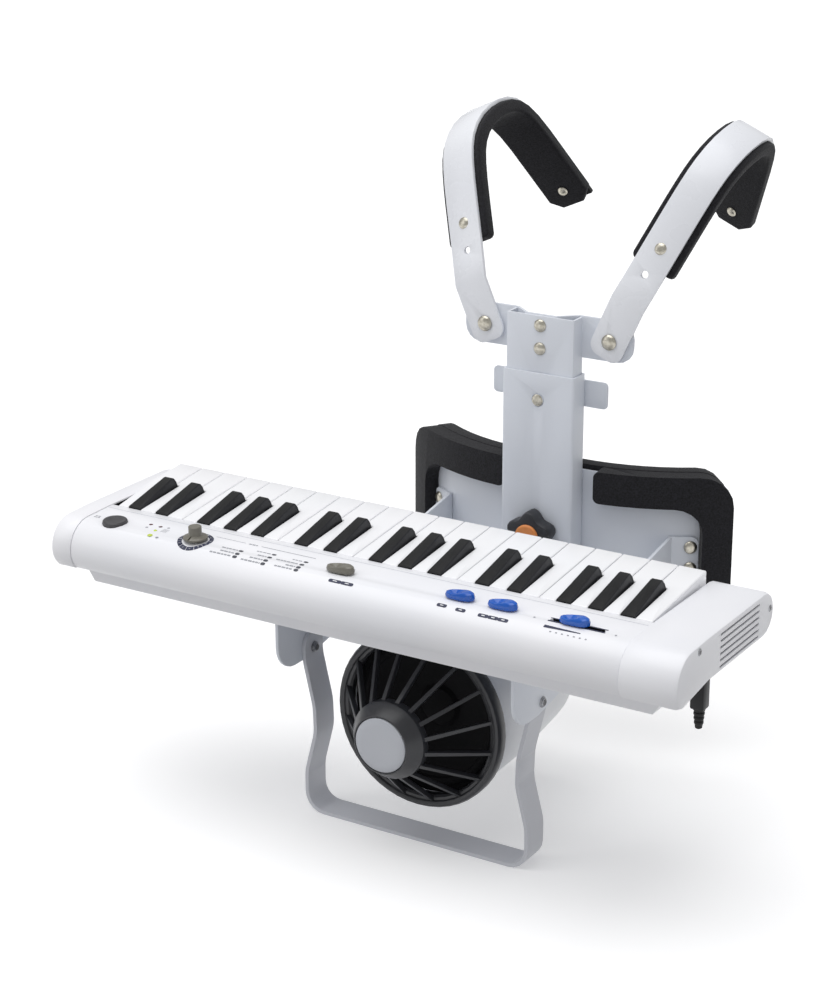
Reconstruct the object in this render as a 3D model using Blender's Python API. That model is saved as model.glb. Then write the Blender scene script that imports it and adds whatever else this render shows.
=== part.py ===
"""A small marching keyboard on a shoulder carrier: case, 36 keys, controls, speaker, foot bar, belly plate, column, straps.

Metres. X runs towards the low notes, Y from the audience to the player, Z up. The origin is the middle of the
belly pad's rear face, where the player's body holds the instrument.
"""

import math

import bmesh
import bpy
from mathutils import Matrix, Vector

# Running and seating clearance between neighbouring pieces
GAP = 0.0003
# How far one shape reaches into another that it is fused with
OVERLAP = 0.0006

# Keys
WHITE_KEYS = 21
KEY_GAP = 0.0006
KEY_END_ROOM = 0.0016  # what the key row leaves free between the two cheeks
KEY_EDGE_Y = -0.1180  # the playing edge of the white keys
KEY_TOP_Z = 0.0492  # the top of that edge
WHITE_LENGTH = 0.0740
KEY_DROP = 0.0074  # how much lower a key's top is at the panel
KEY_HEIGHT = 0.0175
KEY_WALL = 0.0014
KEY_LIP_RADIUS = 0.0022
KEY_TAIL = 0.0180
KEY_TAIL_THICKNESS = 0.0040
KEY_PIVOT_INSET = 0.0140  # how far in front of the panel's edge the keys turn, under the panel
BLACK_LENGTH = 0.0410
BLACK_WIDTH = 0.0097
BLACK_TOP_WIDTH = 0.0070
BLACK_RISE = 0.0067
BLACK_NOSE = 0.0045
BLACK_FRONT_GAP = 0.0013  # a pressed black key swings forward by 0.7 mm
HIGH_KEY_TAPER = 0.0040  # the highest key narrows by this much towards the panel

# Case
CASE_LENGTH = 0.4455
CASE_MIDDLE_X = -0.01845
LEFT_CHEEK = 0.0163
RIGHT_CHEEK = 0.0370
CHEEK_TOP_Z = 0.0418
CASE_REAR_Y = -0.1040
CASE_BOTTOM_Z = 0.0138
PANEL_FLAT = 0.0060  # from the keys to the panel's crease
PANEL_SLOPE_LENGTH = 0.0200
PANEL_SLOPE_DROP = 0.0006
NOSE_DEPTH = 0.0195
NOSE_RISE = 0.0190
NOSE_CHIN = 0.0131
UNDERSIDE_INSET = 0.0030  # from the panel's crease back to the flat bottom
PANEL_WALL = 0.0022
PANEL_STEP = 0.0005  # the cheeks stand this proud of the panel
FLOOR_THICKNESS = 0.0025
KEY_SLIP_TOP_Z = 0.0267
CHEEK_FILLET = 0.0030
BULGE_DEPTH = 0.0176
BULGE_LENGTH = 0.0380
BULGE_END_SLOPE = 0.0118
BULGE_MARGIN = 0.0083
BULGE_RIGHT_MARGIN = 0.0128
BULGE_WALL = 0.0025
VENT_SLOTS = 6
VENT_PITCH = 0.0040
VENT_LENGTH = 0.0545
VENT_WIDTH = 0.0015
VENT_DEPTH = 0.0016
VENT_TOP_Z = 0.0386
VENT_INSET = 0.0365  # from the end of the panel's slope

# Controls
CONTROL_INSET = 0.0192  # from the panel's crease to the row of controls
# Places along the panel, as shares of its length from the high keys' end
POWER_SHARE = 0.0551
VOICE_SHARE = 0.2180
MODE_SHARE = 0.4952
OCTAVE_SHARE = 0.7090
TONE_SHARE = 0.7825
VOLUME_SHARE = 0.9029
POWER_DIAMETER = 0.0160
POWER_HEIGHT = 0.0018
VOICE_SKIRT_DIAMETER = 0.0158
VOICE_STEM_DIAMETER = 0.0085
VOICE_SKIRT_HEIGHT = 0.0032
VOICE_HEIGHT = 0.0095
VOICE_SHAFT_DIAMETER = 0.0060
POWER_FLANGE_DEPTH = 0.0031
SLIDE_KNOB_LENGTH = 0.0198
SLIDE_KNOB_WIDTH = 0.0100
SLIDE_KNOB_HEIGHT = 0.0060
SLIDE_KNOB_SCOOP = 0.0031
SLIDE_KNOB_SIDES = 18
SLIDE_STEM = (0.0050, 0.0022, 0.0045)
SWITCH_TRAVEL = 0.0030
VOLUME_TRAVEL_UP = 0.0120  # towards the high keys
VOLUME_TRAVEL_DOWN = 0.0160

# Connector under the low end
PLUG_INSET = 0.0076  # from the case's low end
PLUG_SETBACK = 0.0104  # in front of the bulge's rear
PLUG_WIDTH = 0.0090
PLUG_LENGTH = 0.0193
RELIEF_DIAMETER = 0.0072
RELIEF_LENGTH = 0.0132

# Speaker
SPEAKER_Z = -0.0650
HOUSING_RADIUS = 0.0565
HOUSING_WALL = 0.0030
HOUSING_SETBACK = 0.0100  # behind the bulge's rear
HOUSING_LENGTH = 0.1200
HOUSING_BACK_ROUND = 0.0180
HOUSING_BAND = 0.0520  # how far back its straight front part reaches
HOUSING_TAPER = (0.0015, 0.0065)  # how much narrower it is there and at its back
HOUSING_RECESS = 0.0460
GRILLE_OVERHANG = 0.0027  # how far its rim stands outside the housing
GRILLE_RIM = 0.0080
GRILLE_RIM_DEPTH = 0.0090
HUB_REACH = 0.0520  # how far it stands in front of the housing
HUB_FRONT_RADIUS = 0.0192
HUB_RADIUS = 0.0255
HUB_CONE = 0.0090
HUB_SKIRT = 0.0060
HUB_WALL = 0.0020
SPOKES = 16
SPOKE_WIDTH = 0.0024
SPOKE_DEPTH = 0.0048
CONE_RADIUS = 0.0430
CONE_DEPTH = 0.0160
DUST_CAP_RADIUS = 0.0140
MAGNET_RADIUS = 0.0300
MAGNET_LENGTH = 0.0140
SADDLE_HALF_WIDTH = 0.0200
SADDLE_LENGTH = 0.0400

# Cradle under the case
ARM_X = 0.0846  # middle of each side plate
SHEET = 0.0020
ARM_REACH = 0.0360  # in front of the foot's pivot
ARM_BOTTOM_Z = -0.0415
ARM_LOBE_RADIUS = 0.0180
ARM_REAR_TOP_Z = 0.0170
ARM_REAR_BOTTOM_Z = -0.0086
ARM_CASE_Y = -0.1120
ARM_STEP = (-0.1000, -0.0010)
CRADLE_PLATE_REAR_Y = -0.1120
FLANGE_WIDTH = 0.0176
PIN_DIAMETER = 0.0050
PIN_CLEARANCE = 0.0003

# Foot bar
FOOT_PIVOT_REACH = 0.0030  # in front of the housing
FOOT_PIVOT_Z = -0.0345
FOOT_WIDTH = 0.0200
FOOT_SHEET = 0.0025
FOOT_BOTTOM_Z = -0.1465
FOOT_TOP_REACH = 0.0110
FOOT_WAIST_X = 0.0753
FOOT_WAIST_Z = (-0.0720, -0.0900)
FOOT_BASE_X = 0.0825
FOOT_BASE_Z = -0.1180

# Belly plate and pad: a flat middle and wings bent back round the body
BELLY_FLAT = 0.0200
BELLY_RADIUS = 0.1400
BELLY_PLATE_SHEET = 0.0015
BELLY_PLATE_Y = -0.0110  # its front face in the middle
PAD_HALF_WIDTH = 0.1250  # measured along the bend
PAD_TOP_Z = 0.0610
PAD_BOTTOM_Z = -0.0610
PAD_CORNER = 0.0220
PAD_EDGE = 0.0035
BAND_THICKNESS = 0.0100
BAND_HEIGHT = 0.0223
BAND_SIDE_WIDTH = 0.0190
BAND_INNER_X = {-1: 0.0280, 1: 0.0370}  # the left band ends behind the sleeve's edge
BAND_CORNER = 0.0180
BAND_INSET = 0.0004  # the edging stands this far inside the pad's outline

# Column
SLEEVE_WIDTH = 0.0530
SLEEVE_DEPTH = 0.0165
SLEEVE_WALL = 0.0015
SLEEVE_TOP_Z = 0.1238
SLEEVE_BOTTOM_Z = -0.0450
SLEEVE_CORNER = 0.0020
POST_CLEARANCE = 0.0004
POST_SHEET = 0.0015
POST_TOP_Z = 0.1618
POST_BOTTOM_Z = -0.0300
POST_LIFT = 0.0500
POST_DROP = 0.0080
LATCH_PIN_Z = 0.1055
LATCH_PIN_DIAMETER = 0.0082
LATCH_HALF_WIDTH = 0.0425
LATCH_HEIGHT = 0.0180
LATCH_MIDDLE_Z = 0.1100
LATCH_SHEET = 0.0015
CLAMP_Z = 0.0140
CLAMP_RADIUS = 0.0168
CLAMP_LOBES = 5
CLAMP_THICKNESS = 0.0105
CLAMP_BOLT_DIAMETER = 0.0060

# Wing bracket and shoulder straps
WING_SHEET = 0.0018
WING_HEIGHT = 0.0267
WING_REACH = 0.0620
STRAP_PIVOT_X = 0.0459
STRAP_PIVOT_DROP = 0.0131  # below the post's top
STRAP_LEAN = math.radians(24.0)
STRAP_TOE_IN = 0.055  # how far the strap moves inward for each metre behind its pivot
STRAP_WIDTH = 0.0240
STRAP_SHEET = 0.0023
STRAP_FOOT_RADIUS = 0.0075
STRAP_END_ROUND = 0.0120
STRAP_HOLE_HEIGHT = 0.0490
STRAP_HOLE_DIAMETER = 0.0050
STRAP_PAD_WIDTH = 0.0320
STRAP_PAD_THICKNESS = 0.0090
STRAP_PAD_CORNER = 0.0035  # rounded at the front end
STRAP_PAD_CUT = 0.0075  # cut off at the rear end
STRAP_PAD_START = 0.0520
STRAP_PAD_RETURN = 0.0500  # further behind the pivot than this, the pad goes on down to the strap's end
# The strap's outer face from its pivot over the shoulder: (distance behind the pivot, height along the strap)
STRAP_CURVE = [
    (0.0000, 0.0290),
    (0.0110, 0.0545),
    (0.0220, 0.0815),
    (0.0325, 0.1045),
    (0.0440, 0.1205),
    (0.0625, 0.1320),
    (0.0870, 0.1375),
    (0.1080, 0.1345),
    (0.1235, 0.1205),
    (0.1395, 0.0930),
    (0.1585, 0.0570),
]


def clear_scene():
    for obj in list(bpy.data.objects):
        bpy.data.objects.remove(obj, do_unlink=True)


def make_material(name, colour, roughness, metallic=0.0):
    made = bpy.data.materials.new(name)
    made.use_nodes = True
    shader = made.node_tree.nodes["Principled BSDF"]
    shader.inputs["Base Color"].default_value = (*colour, 1.0)
    shader.inputs["Roughness"].default_value = roughness
    shader.inputs["Metallic"].default_value = metallic
    return made


def make_object(name, shape, material=None, origin=(0.0, 0.0, 0.0), turn=None, sharp_degrees=35):
    """An object from a bmesh in world coordinates; origin becomes the object's own origin."""
    bmesh.ops.remove_doubles(shape, verts=shape.verts, dist=1e-6)
    bmesh.ops.recalc_face_normals(shape, faces=shape.faces)
    mesh = bpy.data.meshes.new(name)
    shape.to_mesh(mesh)
    shape.free()
    mesh.transform(Matrix.Translation(-Vector(origin)))
    obj = bpy.data.objects.new(name, mesh)
    obj.location = origin
    if turn is not None:
        obj.rotation_euler = turn
    bpy.context.scene.collection.objects.link(obj)
    if material is not None:
        mesh.materials.append(material)
    mesh.shade_smooth()
    mesh.set_sharp_from_angle(angle=math.radians(sharp_degrees))
    return obj


def combine(obj, shape, operation, name):
    """Adds a hidden helper made from shape and a Boolean that uses it."""
    helper = make_object(f"{obj.name}_{name}", shape)
    helper.hide_render = True
    helper.display_type = "WIRE"
    modifier = obj.modifiers.new(name, "BOOLEAN")
    modifier.operation = operation
    modifier.object = helper
    return helper


def settle(obj):
    """Replaces the object's mesh with its evaluated one and drops its modifiers and their helpers."""
    helpers = [modifier.object for modifier in obj.modifiers if modifier.type == "BOOLEAN"]
    graph = bpy.context.evaluated_depsgraph_get()
    mesh = bpy.data.meshes.new_from_object(obj.evaluated_get(graph))
    obj.modifiers.clear()
    obj.data = mesh
    for helper in helpers:
        bpy.data.objects.remove(helper, do_unlink=True)
    return mesh


def on_axis(axis, point, along):
    """A 2-D outline point put into space: the outline lies across the named axis."""
    a, b = point
    return {"X": (along, a, b), "Y": (a, along, b), "Z": (a, b, along)}[axis]


def prism(outline, axis, low, high, shape=None):
    shape = shape or bmesh.new()
    ring = [shape.verts.new(on_axis(axis, point, low)) for point in outline]
    face = shape.faces.new(ring)
    made = bmesh.ops.extrude_face_region(shape, geom=[face])
    moved = [item for item in made["geom"] if isinstance(item, bmesh.types.BMVert)]
    bmesh.ops.translate(shape, verts=moved, vec=on_axis(axis, (0.0, 0.0), high - low))
    return shape


def box(low, high, shape=None):
    outline = [(low[0], low[1]), (high[0], low[1]), (high[0], high[1]), (low[0], high[1])]
    return prism(outline, "Z", low[2], high[2], shape)


def circle(centre, radius, segments, start=0.0):
    turns = [start + 2 * math.pi * step / segments for step in range(segments)]
    return [(centre[0] + radius * math.cos(t), centre[1] + radius * math.sin(t)) for t in turns]


def arc(centre, radii, start, end, segments):
    """Points of an elliptic arc; angles in degrees."""
    turns = [math.radians(start + (end - start) * step / segments) for step in range(segments + 1)]
    return [(centre[0] + radii[0] * math.cos(t), centre[1] + radii[1] * math.sin(t)) for t in turns]


def rounded(corners, closed=True, segments=4):
    """A polyline whose corners (x, y, radius) are replaced with arcs."""
    points = []
    count = len(corners)
    for index, (x, y, radius) in enumerate(corners):
        here = Vector((x, y))
        if radius <= 0 or (not closed and index in (0, count - 1)):
            points.append((x, y))
            continue
        before = Vector(corners[index - 1][:2]) - here
        after = Vector(corners[(index + 1) % count][:2]) - here
        half = before.angle(after) / 2
        reach = radius / math.tan(half)
        start = here + before.normalized() * reach
        end = here + after.normalized() * reach
        centre = here + (before.normalized() + after.normalized()).normalized() * radius / math.sin(half)
        first = start - centre
        sweep = first.angle_signed(end - centre)
        for step in range(segments + 1):
            spoke = first.copy()
            spoke.rotate(Matrix.Rotation(-sweep * step / segments, 2))
            points.append(tuple(centre + spoke))
    return points


def offset_path(points, distance):
    """An open path moved sideways by distance, to the left of its direction."""
    moved = []
    for index, point in enumerate(points):
        here = Vector(point)
        sides = []
        if index > 0:
            sides.append((here - Vector(points[index - 1])).normalized())
        if index < len(points) - 1:
            sides.append((Vector(points[index + 1]) - here).normalized())
        along = sum(sides, Vector((0.0, 0.0))).normalized()
        left = Vector((-along.y, along.x))
        widen = 1.0 / max(0.3, left.dot(Vector((-sides[0].y, sides[0].x))))
        moved.append(tuple(here + left * distance * widen))
    return moved


def strip(path, thickness):
    """A closed outline: the path, and the same path moved to its right by the sheet's thickness."""
    return list(path) + list(reversed(offset_path(path, -thickness)))


def lathe(profile, centre, segments, shape=None):
    """A solid turned about an axis along Y. The profile lists (radius, y) and starts and ends on the axis or closes on itself."""
    shape = shape or bmesh.new()
    closed = profile[0][0] > 1e-9
    verts = [shape.verts.new((centre[0] + radius, y, centre[1])) for radius, y in profile]
    edges = [shape.edges.new((verts[i], verts[i + 1])) for i in range(len(verts) - 1)]
    if closed:
        edges.append(shape.edges.new((verts[-1], verts[0])))
    bmesh.ops.spin(
        shape,
        geom=verts + edges,
        cent=(centre[0], 0.0, centre[1]),
        axis=(0.0, 1.0, 0.0),
        angle=2 * math.pi,
        steps=segments,
        use_merge=True,
    )
    bmesh.ops.remove_doubles(shape, verts=shape.verts, dist=1e-6)
    return shape


def turned(profile, segments):
    """The same about Z through the origin: the profile lists (radius, z)."""
    shape = lathe(profile, (0.0, 0.0), segments)
    bmesh.ops.rotate(shape, verts=shape.verts, cent=(0, 0, 0), matrix=Matrix.Rotation(math.radians(90), 3, "X"))
    return shape


def bevel_edges(shape, chosen, width, segments=1):
    bmesh.ops.bevel(
        shape,
        geom=chosen,
        offset=width,
        offset_type="OFFSET",
        affect="EDGES",
        segments=segments,
        profile=0.5,
        material=-1,
    )


clear_scene()
WHITE_PLASTIC = make_material("white_abs", (0.86, 0.87, 0.90), 0.35)
KEY_PLASTIC = make_material("ivory_white_key", (0.88, 0.88, 0.90), 0.25)
BLACK_PLASTIC = make_material("black_key", (0.012, 0.014, 0.018), 0.4)
DARK_PLASTIC = make_material("dark_grey_plastic", (0.03, 0.03, 0.035), 0.45)
GREY_PLASTIC = make_material("warm_grey_plastic", (0.16, 0.15, 0.13), 0.45)
BLUE_PLASTIC = make_material("blue_plastic", (0.015, 0.08, 0.48), 0.3)
PAINTED_STEEL = make_material("painted_steel", (0.72, 0.75, 0.80), 0.35, 0.0)
FOOT_STEEL = make_material("grey_painted_steel", (0.52, 0.53, 0.56), 0.4, 0.0)
BLACK_FOAM = make_material("black_foam", (0.012, 0.012, 0.013), 0.95)

# Places that follow from the driving dimensions
CASE_LEFT = CASE_MIDDLE_X - CASE_LENGTH / 2
CASE_RIGHT = CASE_MIDDLE_X + CASE_LENGTH / 2
RIGHT_CHEEK_X = CASE_RIGHT - RIGHT_CHEEK
LEFT_CHEEK_X = CASE_LEFT + LEFT_CHEEK
PANEL_LENGTH = RIGHT_CHEEK_X - LEFT_CHEEK_X
KEY_PITCH = (PANEL_LENGTH - KEY_END_ROOM) / WHITE_KEYS
KEY_ROW_X = LEFT_CHEEK_X + KEY_GAP
POWER_X = LEFT_CHEEK_X + PANEL_LENGTH * POWER_SHARE
VOICE_X = LEFT_CHEEK_X + PANEL_LENGTH * VOICE_SHARE
MODE_X = LEFT_CHEEK_X + PANEL_LENGTH * MODE_SHARE
OCTAVE_X = LEFT_CHEEK_X + PANEL_LENGTH * OCTAVE_SHARE
TONE_X = LEFT_CHEEK_X + PANEL_LENGTH * TONE_SHARE
VOLUME_X = LEFT_CHEEK_X + PANEL_LENGTH * VOLUME_SHARE
PLUG_X = CASE_RIGHT - PLUG_INSET
GRILLE_RADIUS = HOUSING_RADIUS + GRILLE_OVERHANG
KEY_NEAR_Y = KEY_EDGE_Y - WHITE_LENGTH
KEY_BOTTOM_Z = KEY_TOP_Z - KEY_HEIGHT
KEY_PIVOT_Y = KEY_NEAR_Y - KEY_PIVOT_INSET
PANEL_CREASE_Y = KEY_NEAR_Y - PANEL_FLAT
CONTROL_ROW_Y = PANEL_CREASE_Y - CONTROL_INSET
UNDERSIDE_END_Y = PANEL_CREASE_Y + UNDERSIDE_INSET
KEY_TAIL_END_Y = KEY_NEAR_Y - KEY_TAIL
TAIL_TOP_Z = KEY_BOTTOM_Z + KEY_TAIL_THICKNESS
KEY_PIVOT_Z = KEY_BOTTOM_Z
PANEL_EDGE_Y = KEY_NEAR_Y - GAP
SLOPE_END_Y = PANEL_CREASE_Y - PANEL_SLOPE_LENGTH
BULGE_FRONT_Y = SLOPE_END_Y
BULGE_REAR_Y = BULGE_FRONT_Y + BULGE_LENGTH
VENT_FRONT_Y = SLOPE_END_Y + VENT_INSET
PLUG_Y = BULGE_REAR_Y - PLUG_SETBACK
HOUSING_FRONT_Y = BULGE_REAR_Y + HOUSING_SETBACK
HOUSING_MIDDLE_Y = HOUSING_FRONT_Y + HOUSING_BAND
HOUSING_BACK_Y = HOUSING_FRONT_Y + HOUSING_LENGTH
HUB_FRONT_Y = HOUSING_FRONT_Y - HUB_REACH
FOOT_PIVOT_Y = HOUSING_FRONT_Y - FOOT_PIVOT_REACH
ARM_FRONT_Y = FOOT_PIVOT_Y - ARM_REACH
STRAP_PIVOT_Z = POST_TOP_Z - STRAP_PIVOT_DROP
SLOPE_END_Z = CHEEK_TOP_Z - PANEL_SLOPE_DROP
PANEL_TILT = math.atan2(PANEL_SLOPE_DROP, PANEL_SLOPE_LENGTH)
NOSE_MIDDLE_Z = SLOPE_END_Z - NOSE_RISE
CHIN_Z = NOSE_MIDDLE_Z - NOSE_CHIN
REAR_RADIUS = (CHEEK_TOP_Z - CASE_BOTTOM_Z) / 2
PLATE_FRONT_Y = BELLY_PLATE_Y
SLEEVE_BACK_Y = BELLY_PLATE_Y - GAP
SLEEVE_FRONT_Y = SLEEVE_BACK_Y - SLEEVE_DEPTH
POST_FRONT_Y = SLEEVE_FRONT_Y + SLEEVE_WALL + GAP
POST_HALF = SLEEVE_WIDTH / 2 - SLEEVE_WALL - POST_CLEARANCE
POST_BACK_Y = SLEEVE_BACK_Y - SLEEVE_WALL - GAP
CRADLE_TOP_Z = CASE_BOTTOM_Z - GAP


def control_z(y):
    """Height of the panel's sloping face."""
    return CHEEK_TOP_Z - PANEL_STEP - (PANEL_CREASE_Y - y) * PANEL_SLOPE_DROP / PANEL_SLOPE_LENGTH


def key_top_z(y):
    return KEY_TOP_Z - (KEY_EDGE_Y - y) * KEY_DROP / WHITE_LENGTH


def case_profile():
    """The case's section as (y, z), from the panel's crease round the nose to where the bottom bulge starts."""
    nose_centre = (SLOPE_END_Y, NOSE_MIDDLE_Z)
    upper = arc(nose_centre, (NOSE_DEPTH, NOSE_RISE), 90, 180, 8)
    lower = arc(nose_centre, (NOSE_DEPTH, NOSE_RISE), 180, 208, 3)[1:]
    chin = [
        (SLOPE_END_Y - NOSE_DEPTH * 0.75, CHIN_Z + 0.0010),
        (SLOPE_END_Y - NOSE_DEPTH * 0.54, CHIN_Z),
    ]
    return [(PANEL_CREASE_Y, CHEEK_TOP_Z)] + upper + lower + chin


def underside_z(y):
    """Height of the slightly sloping underside between the chin and the flat bottom."""
    start = SLOPE_END_Y - NOSE_DEPTH * 0.54
    share = (y - start) / (UNDERSIDE_END_Y - start)
    return CHIN_Z + (CASE_BOTTOM_Z - CHIN_Z) * share


def case_section():
    """The closed section of the end cheeks."""
    rear_centre = (CASE_REAR_Y - REAR_RADIUS, CASE_BOTTOM_Z + REAR_RADIUS)
    rear = arc(rear_centre, (REAR_RADIUS, REAR_RADIUS), -90, 90, 8)
    return case_profile() + [(UNDERSIDE_END_Y, CASE_BOTTOM_Z)] + rear


def add_lower_case():
    shape = prism(case_section(), "X", CASE_LEFT, CASE_RIGHT)
    ends = [e for e in shape.edges if abs(e.verts[0].co.x - e.verts[1].co.x) < 1e-7]
    bevel_edges(shape, ends, CHEEK_FILLET, 2)
    case = make_object("lower_case", shape, WHITE_PLASTIC)
    floor_z = CASE_BOTTOM_Z + FLOOR_THICKNESS
    slip_y = KEY_EDGE_Y + GAP + (KEY_TOP_Z - KEY_PIVOT_Z) * math.tan(math.radians(5))
    panel_lip_y = BULGE_FRONT_Y + GAP
    clear = 0.02
    well = box((LEFT_CHEEK_X, SLOPE_END_Y - NOSE_DEPTH - clear, floor_z), (RIGHT_CHEEK_X, slip_y, KEY_TOP_Z + clear))
    combine(case, well, "DIFFERENCE", "key_well")
    nose = box(
        (LEFT_CHEEK_X, SLOPE_END_Y - NOSE_DEPTH - clear, CHIN_Z - clear),
        (RIGHT_CHEEK_X, panel_lip_y, KEY_TOP_Z + clear),
    )
    combine(case, nose, "DIFFERENCE", "panel_seat")
    above_slip = box(
        (LEFT_CHEEK_X, slip_y - clear, KEY_SLIP_TOP_Z),
        (RIGHT_CHEEK_X, CASE_REAR_Y + clear, KEY_TOP_Z + clear),
    )
    combine(case, above_slip, "DIFFERENCE", "slip_top")
    rail = box(
        (LEFT_CHEEK_X - OVERLAP, KEY_PIVOT_Y - 0.002, floor_z - OVERLAP),
        (RIGHT_CHEEK_X + OVERLAP, KEY_PIVOT_Y + 0.002, KEY_BOTTOM_Z - GAP),
    )
    combine(case, rail, "UNION", "pivot_rail")
    low_z = CASE_BOTTOM_Z - BULGE_DEPTH
    left = CASE_LEFT + BULGE_MARGIN
    right = CASE_RIGHT - BULGE_RIGHT_MARGIN
    bulge_outline = [
        (left, floor_z - OVERLAP),
        (left, CASE_BOTTOM_Z - OVERLAP),
        (left + BULGE_END_SLOPE, low_z),
        (right - BULGE_END_SLOPE, low_z),
        (right, CASE_BOTTOM_Z - OVERLAP),
        (right, floor_z - OVERLAP),
    ]
    bulge = prism(bulge_outline, "Y", BULGE_FRONT_Y, BULGE_REAR_Y)
    lower_front = [
        e for e in bulge.edges
        if all(v.co.z < low_z + 1e-6 for v in e.verts) and abs(e.verts[0].co.y - e.verts[1].co.y) < 1e-7
    ]
    bevel_edges(bulge, lower_front, 0.0015, 2)
    combine(case, bulge, "UNION", "bottom_bulge")
    bay = box(
        (left + BULGE_END_SLOPE + BULGE_WALL, KEY_PIVOT_Y + 0.0045, low_z + BULGE_WALL),
        (right - BULGE_END_SLOPE - BULGE_WALL, BULGE_REAR_Y - BULGE_WALL, floor_z + BULGE_WALL),
    )
    combine(case, bay, "DIFFERENCE", "battery_bay")
    vents = bmesh.new()
    for index in range(VENT_SLOTS):
        top = VENT_TOP_Z - index * VENT_PITCH
        box(
            (CASE_RIGHT - VENT_DEPTH, VENT_FRONT_Y, top - VENT_WIDTH),
            (CASE_RIGHT + clear, VENT_FRONT_Y + VENT_LENGTH, top),
            vents,
        )
    combine(case, vents, "DIFFERENCE", "vent_slots")
    return case


def slot_outline(x, length, width):
    radius = width / 2
    reach = length / 2 - radius
    right = arc((x + reach, CONTROL_ROW_Y), (radius, radius), -90, 90, 4)
    left = arc((x - reach, CONTROL_ROW_Y), (radius, radius), 90, 270, 4)
    return right + left


def add_upper_panel():
    lip_y = BULGE_FRONT_Y - GAP
    path = [(PANEL_EDGE_Y, CHEEK_TOP_Z)] + case_profile() + [(lip_y, underside_z(lip_y))]
    outer = offset_path(path, PANEL_STEP)
    inner = offset_path(path, PANEL_STEP + PANEL_WALL)
    outline = outer + list(reversed(inner))
    shape = prism(outline, "X", LEFT_CHEEK_X + GAP, RIGHT_CHEEK_X - GAP)
    panel = make_object("upper_panel", shape, WHITE_PLASTIC)
    deep = 0.02
    low, high = CHEEK_TOP_Z - deep, CHEEK_TOP_Z + deep
    holes = bmesh.new()
    prism(circle((POWER_X, CONTROL_ROW_Y), POWER_DIAMETER / 2 + GAP, 20), "Z", low, high, holes)
    prism(circle((VOICE_X, CONTROL_ROW_Y), VOICE_SHAFT_DIAMETER / 2 + GAP, 12), "Z", low, high, holes)
    slot_width = SLIDE_STEM[1] + 2 * GAP
    for x in (MODE_X, OCTAVE_X, TONE_X):
        length = SLIDE_STEM[0] + 2 * SWITCH_TRAVEL + slot_width
        prism(slot_outline(x, length, slot_width), "Z", low, high, holes)
    length = SLIDE_STEM[0] + VOLUME_TRAVEL_UP + VOLUME_TRAVEL_DOWN + slot_width
    middle = VOLUME_X + (VOLUME_TRAVEL_DOWN - VOLUME_TRAVEL_UP) / 2
    prism(slot_outline(middle, length, slot_width), "Z", low, high, holes)
    combine(panel, holes, "DIFFERENCE", "control_holes")
    return panel


def white_side_view():
    """A white key from the side, as (y, z)."""
    lip = arc(
        (KEY_EDGE_Y - KEY_LIP_RADIUS, KEY_TOP_Z - KEY_LIP_RADIUS),
        (KEY_LIP_RADIUS, KEY_LIP_RADIUS),
        0,
        90 - math.degrees(math.atan2(KEY_DROP, WHITE_LENGTH)),
        3,
    )
    tail = [
        (KEY_NEAR_Y, key_top_z(KEY_NEAR_Y)),
        (KEY_NEAR_Y, TAIL_TOP_Z),
        (KEY_TAIL_END_Y, TAIL_TOP_Z),
        (KEY_TAIL_END_Y, KEY_BOTTOM_Z),
    ]
    return [(KEY_EDGE_Y, KEY_BOTTOM_Z)] + lip + tail


def round_playing_end(shape, low_x, high_x):
    """Rounds the two corners of the playing end, seen from above, by the lip's radius."""
    start_y = KEY_EDGE_Y - KEY_LIP_RADIUS
    stations = sorted({round(v.co.y, 7) for v in shape.verts if start_y < v.co.y < KEY_EDGE_Y - 1e-6})
    for y in stations:
        everything = list(shape.verts) + list(shape.edges) + list(shape.faces)
        bmesh.ops.bisect_plane(shape, geom=everything, dist=1e-6, plane_co=(0, y, 0), plane_no=(0, 1, 0))
    for vert in shape.verts:
        along = vert.co.y - start_y
        if along > 1e-6:
            inset = KEY_LIP_RADIUS - math.sqrt(max(0.0, KEY_LIP_RADIUS**2 - along**2))
            vert.co.x += inset if abs(vert.co.x - low_x) < abs(vert.co.x - high_x) else -inset


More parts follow.
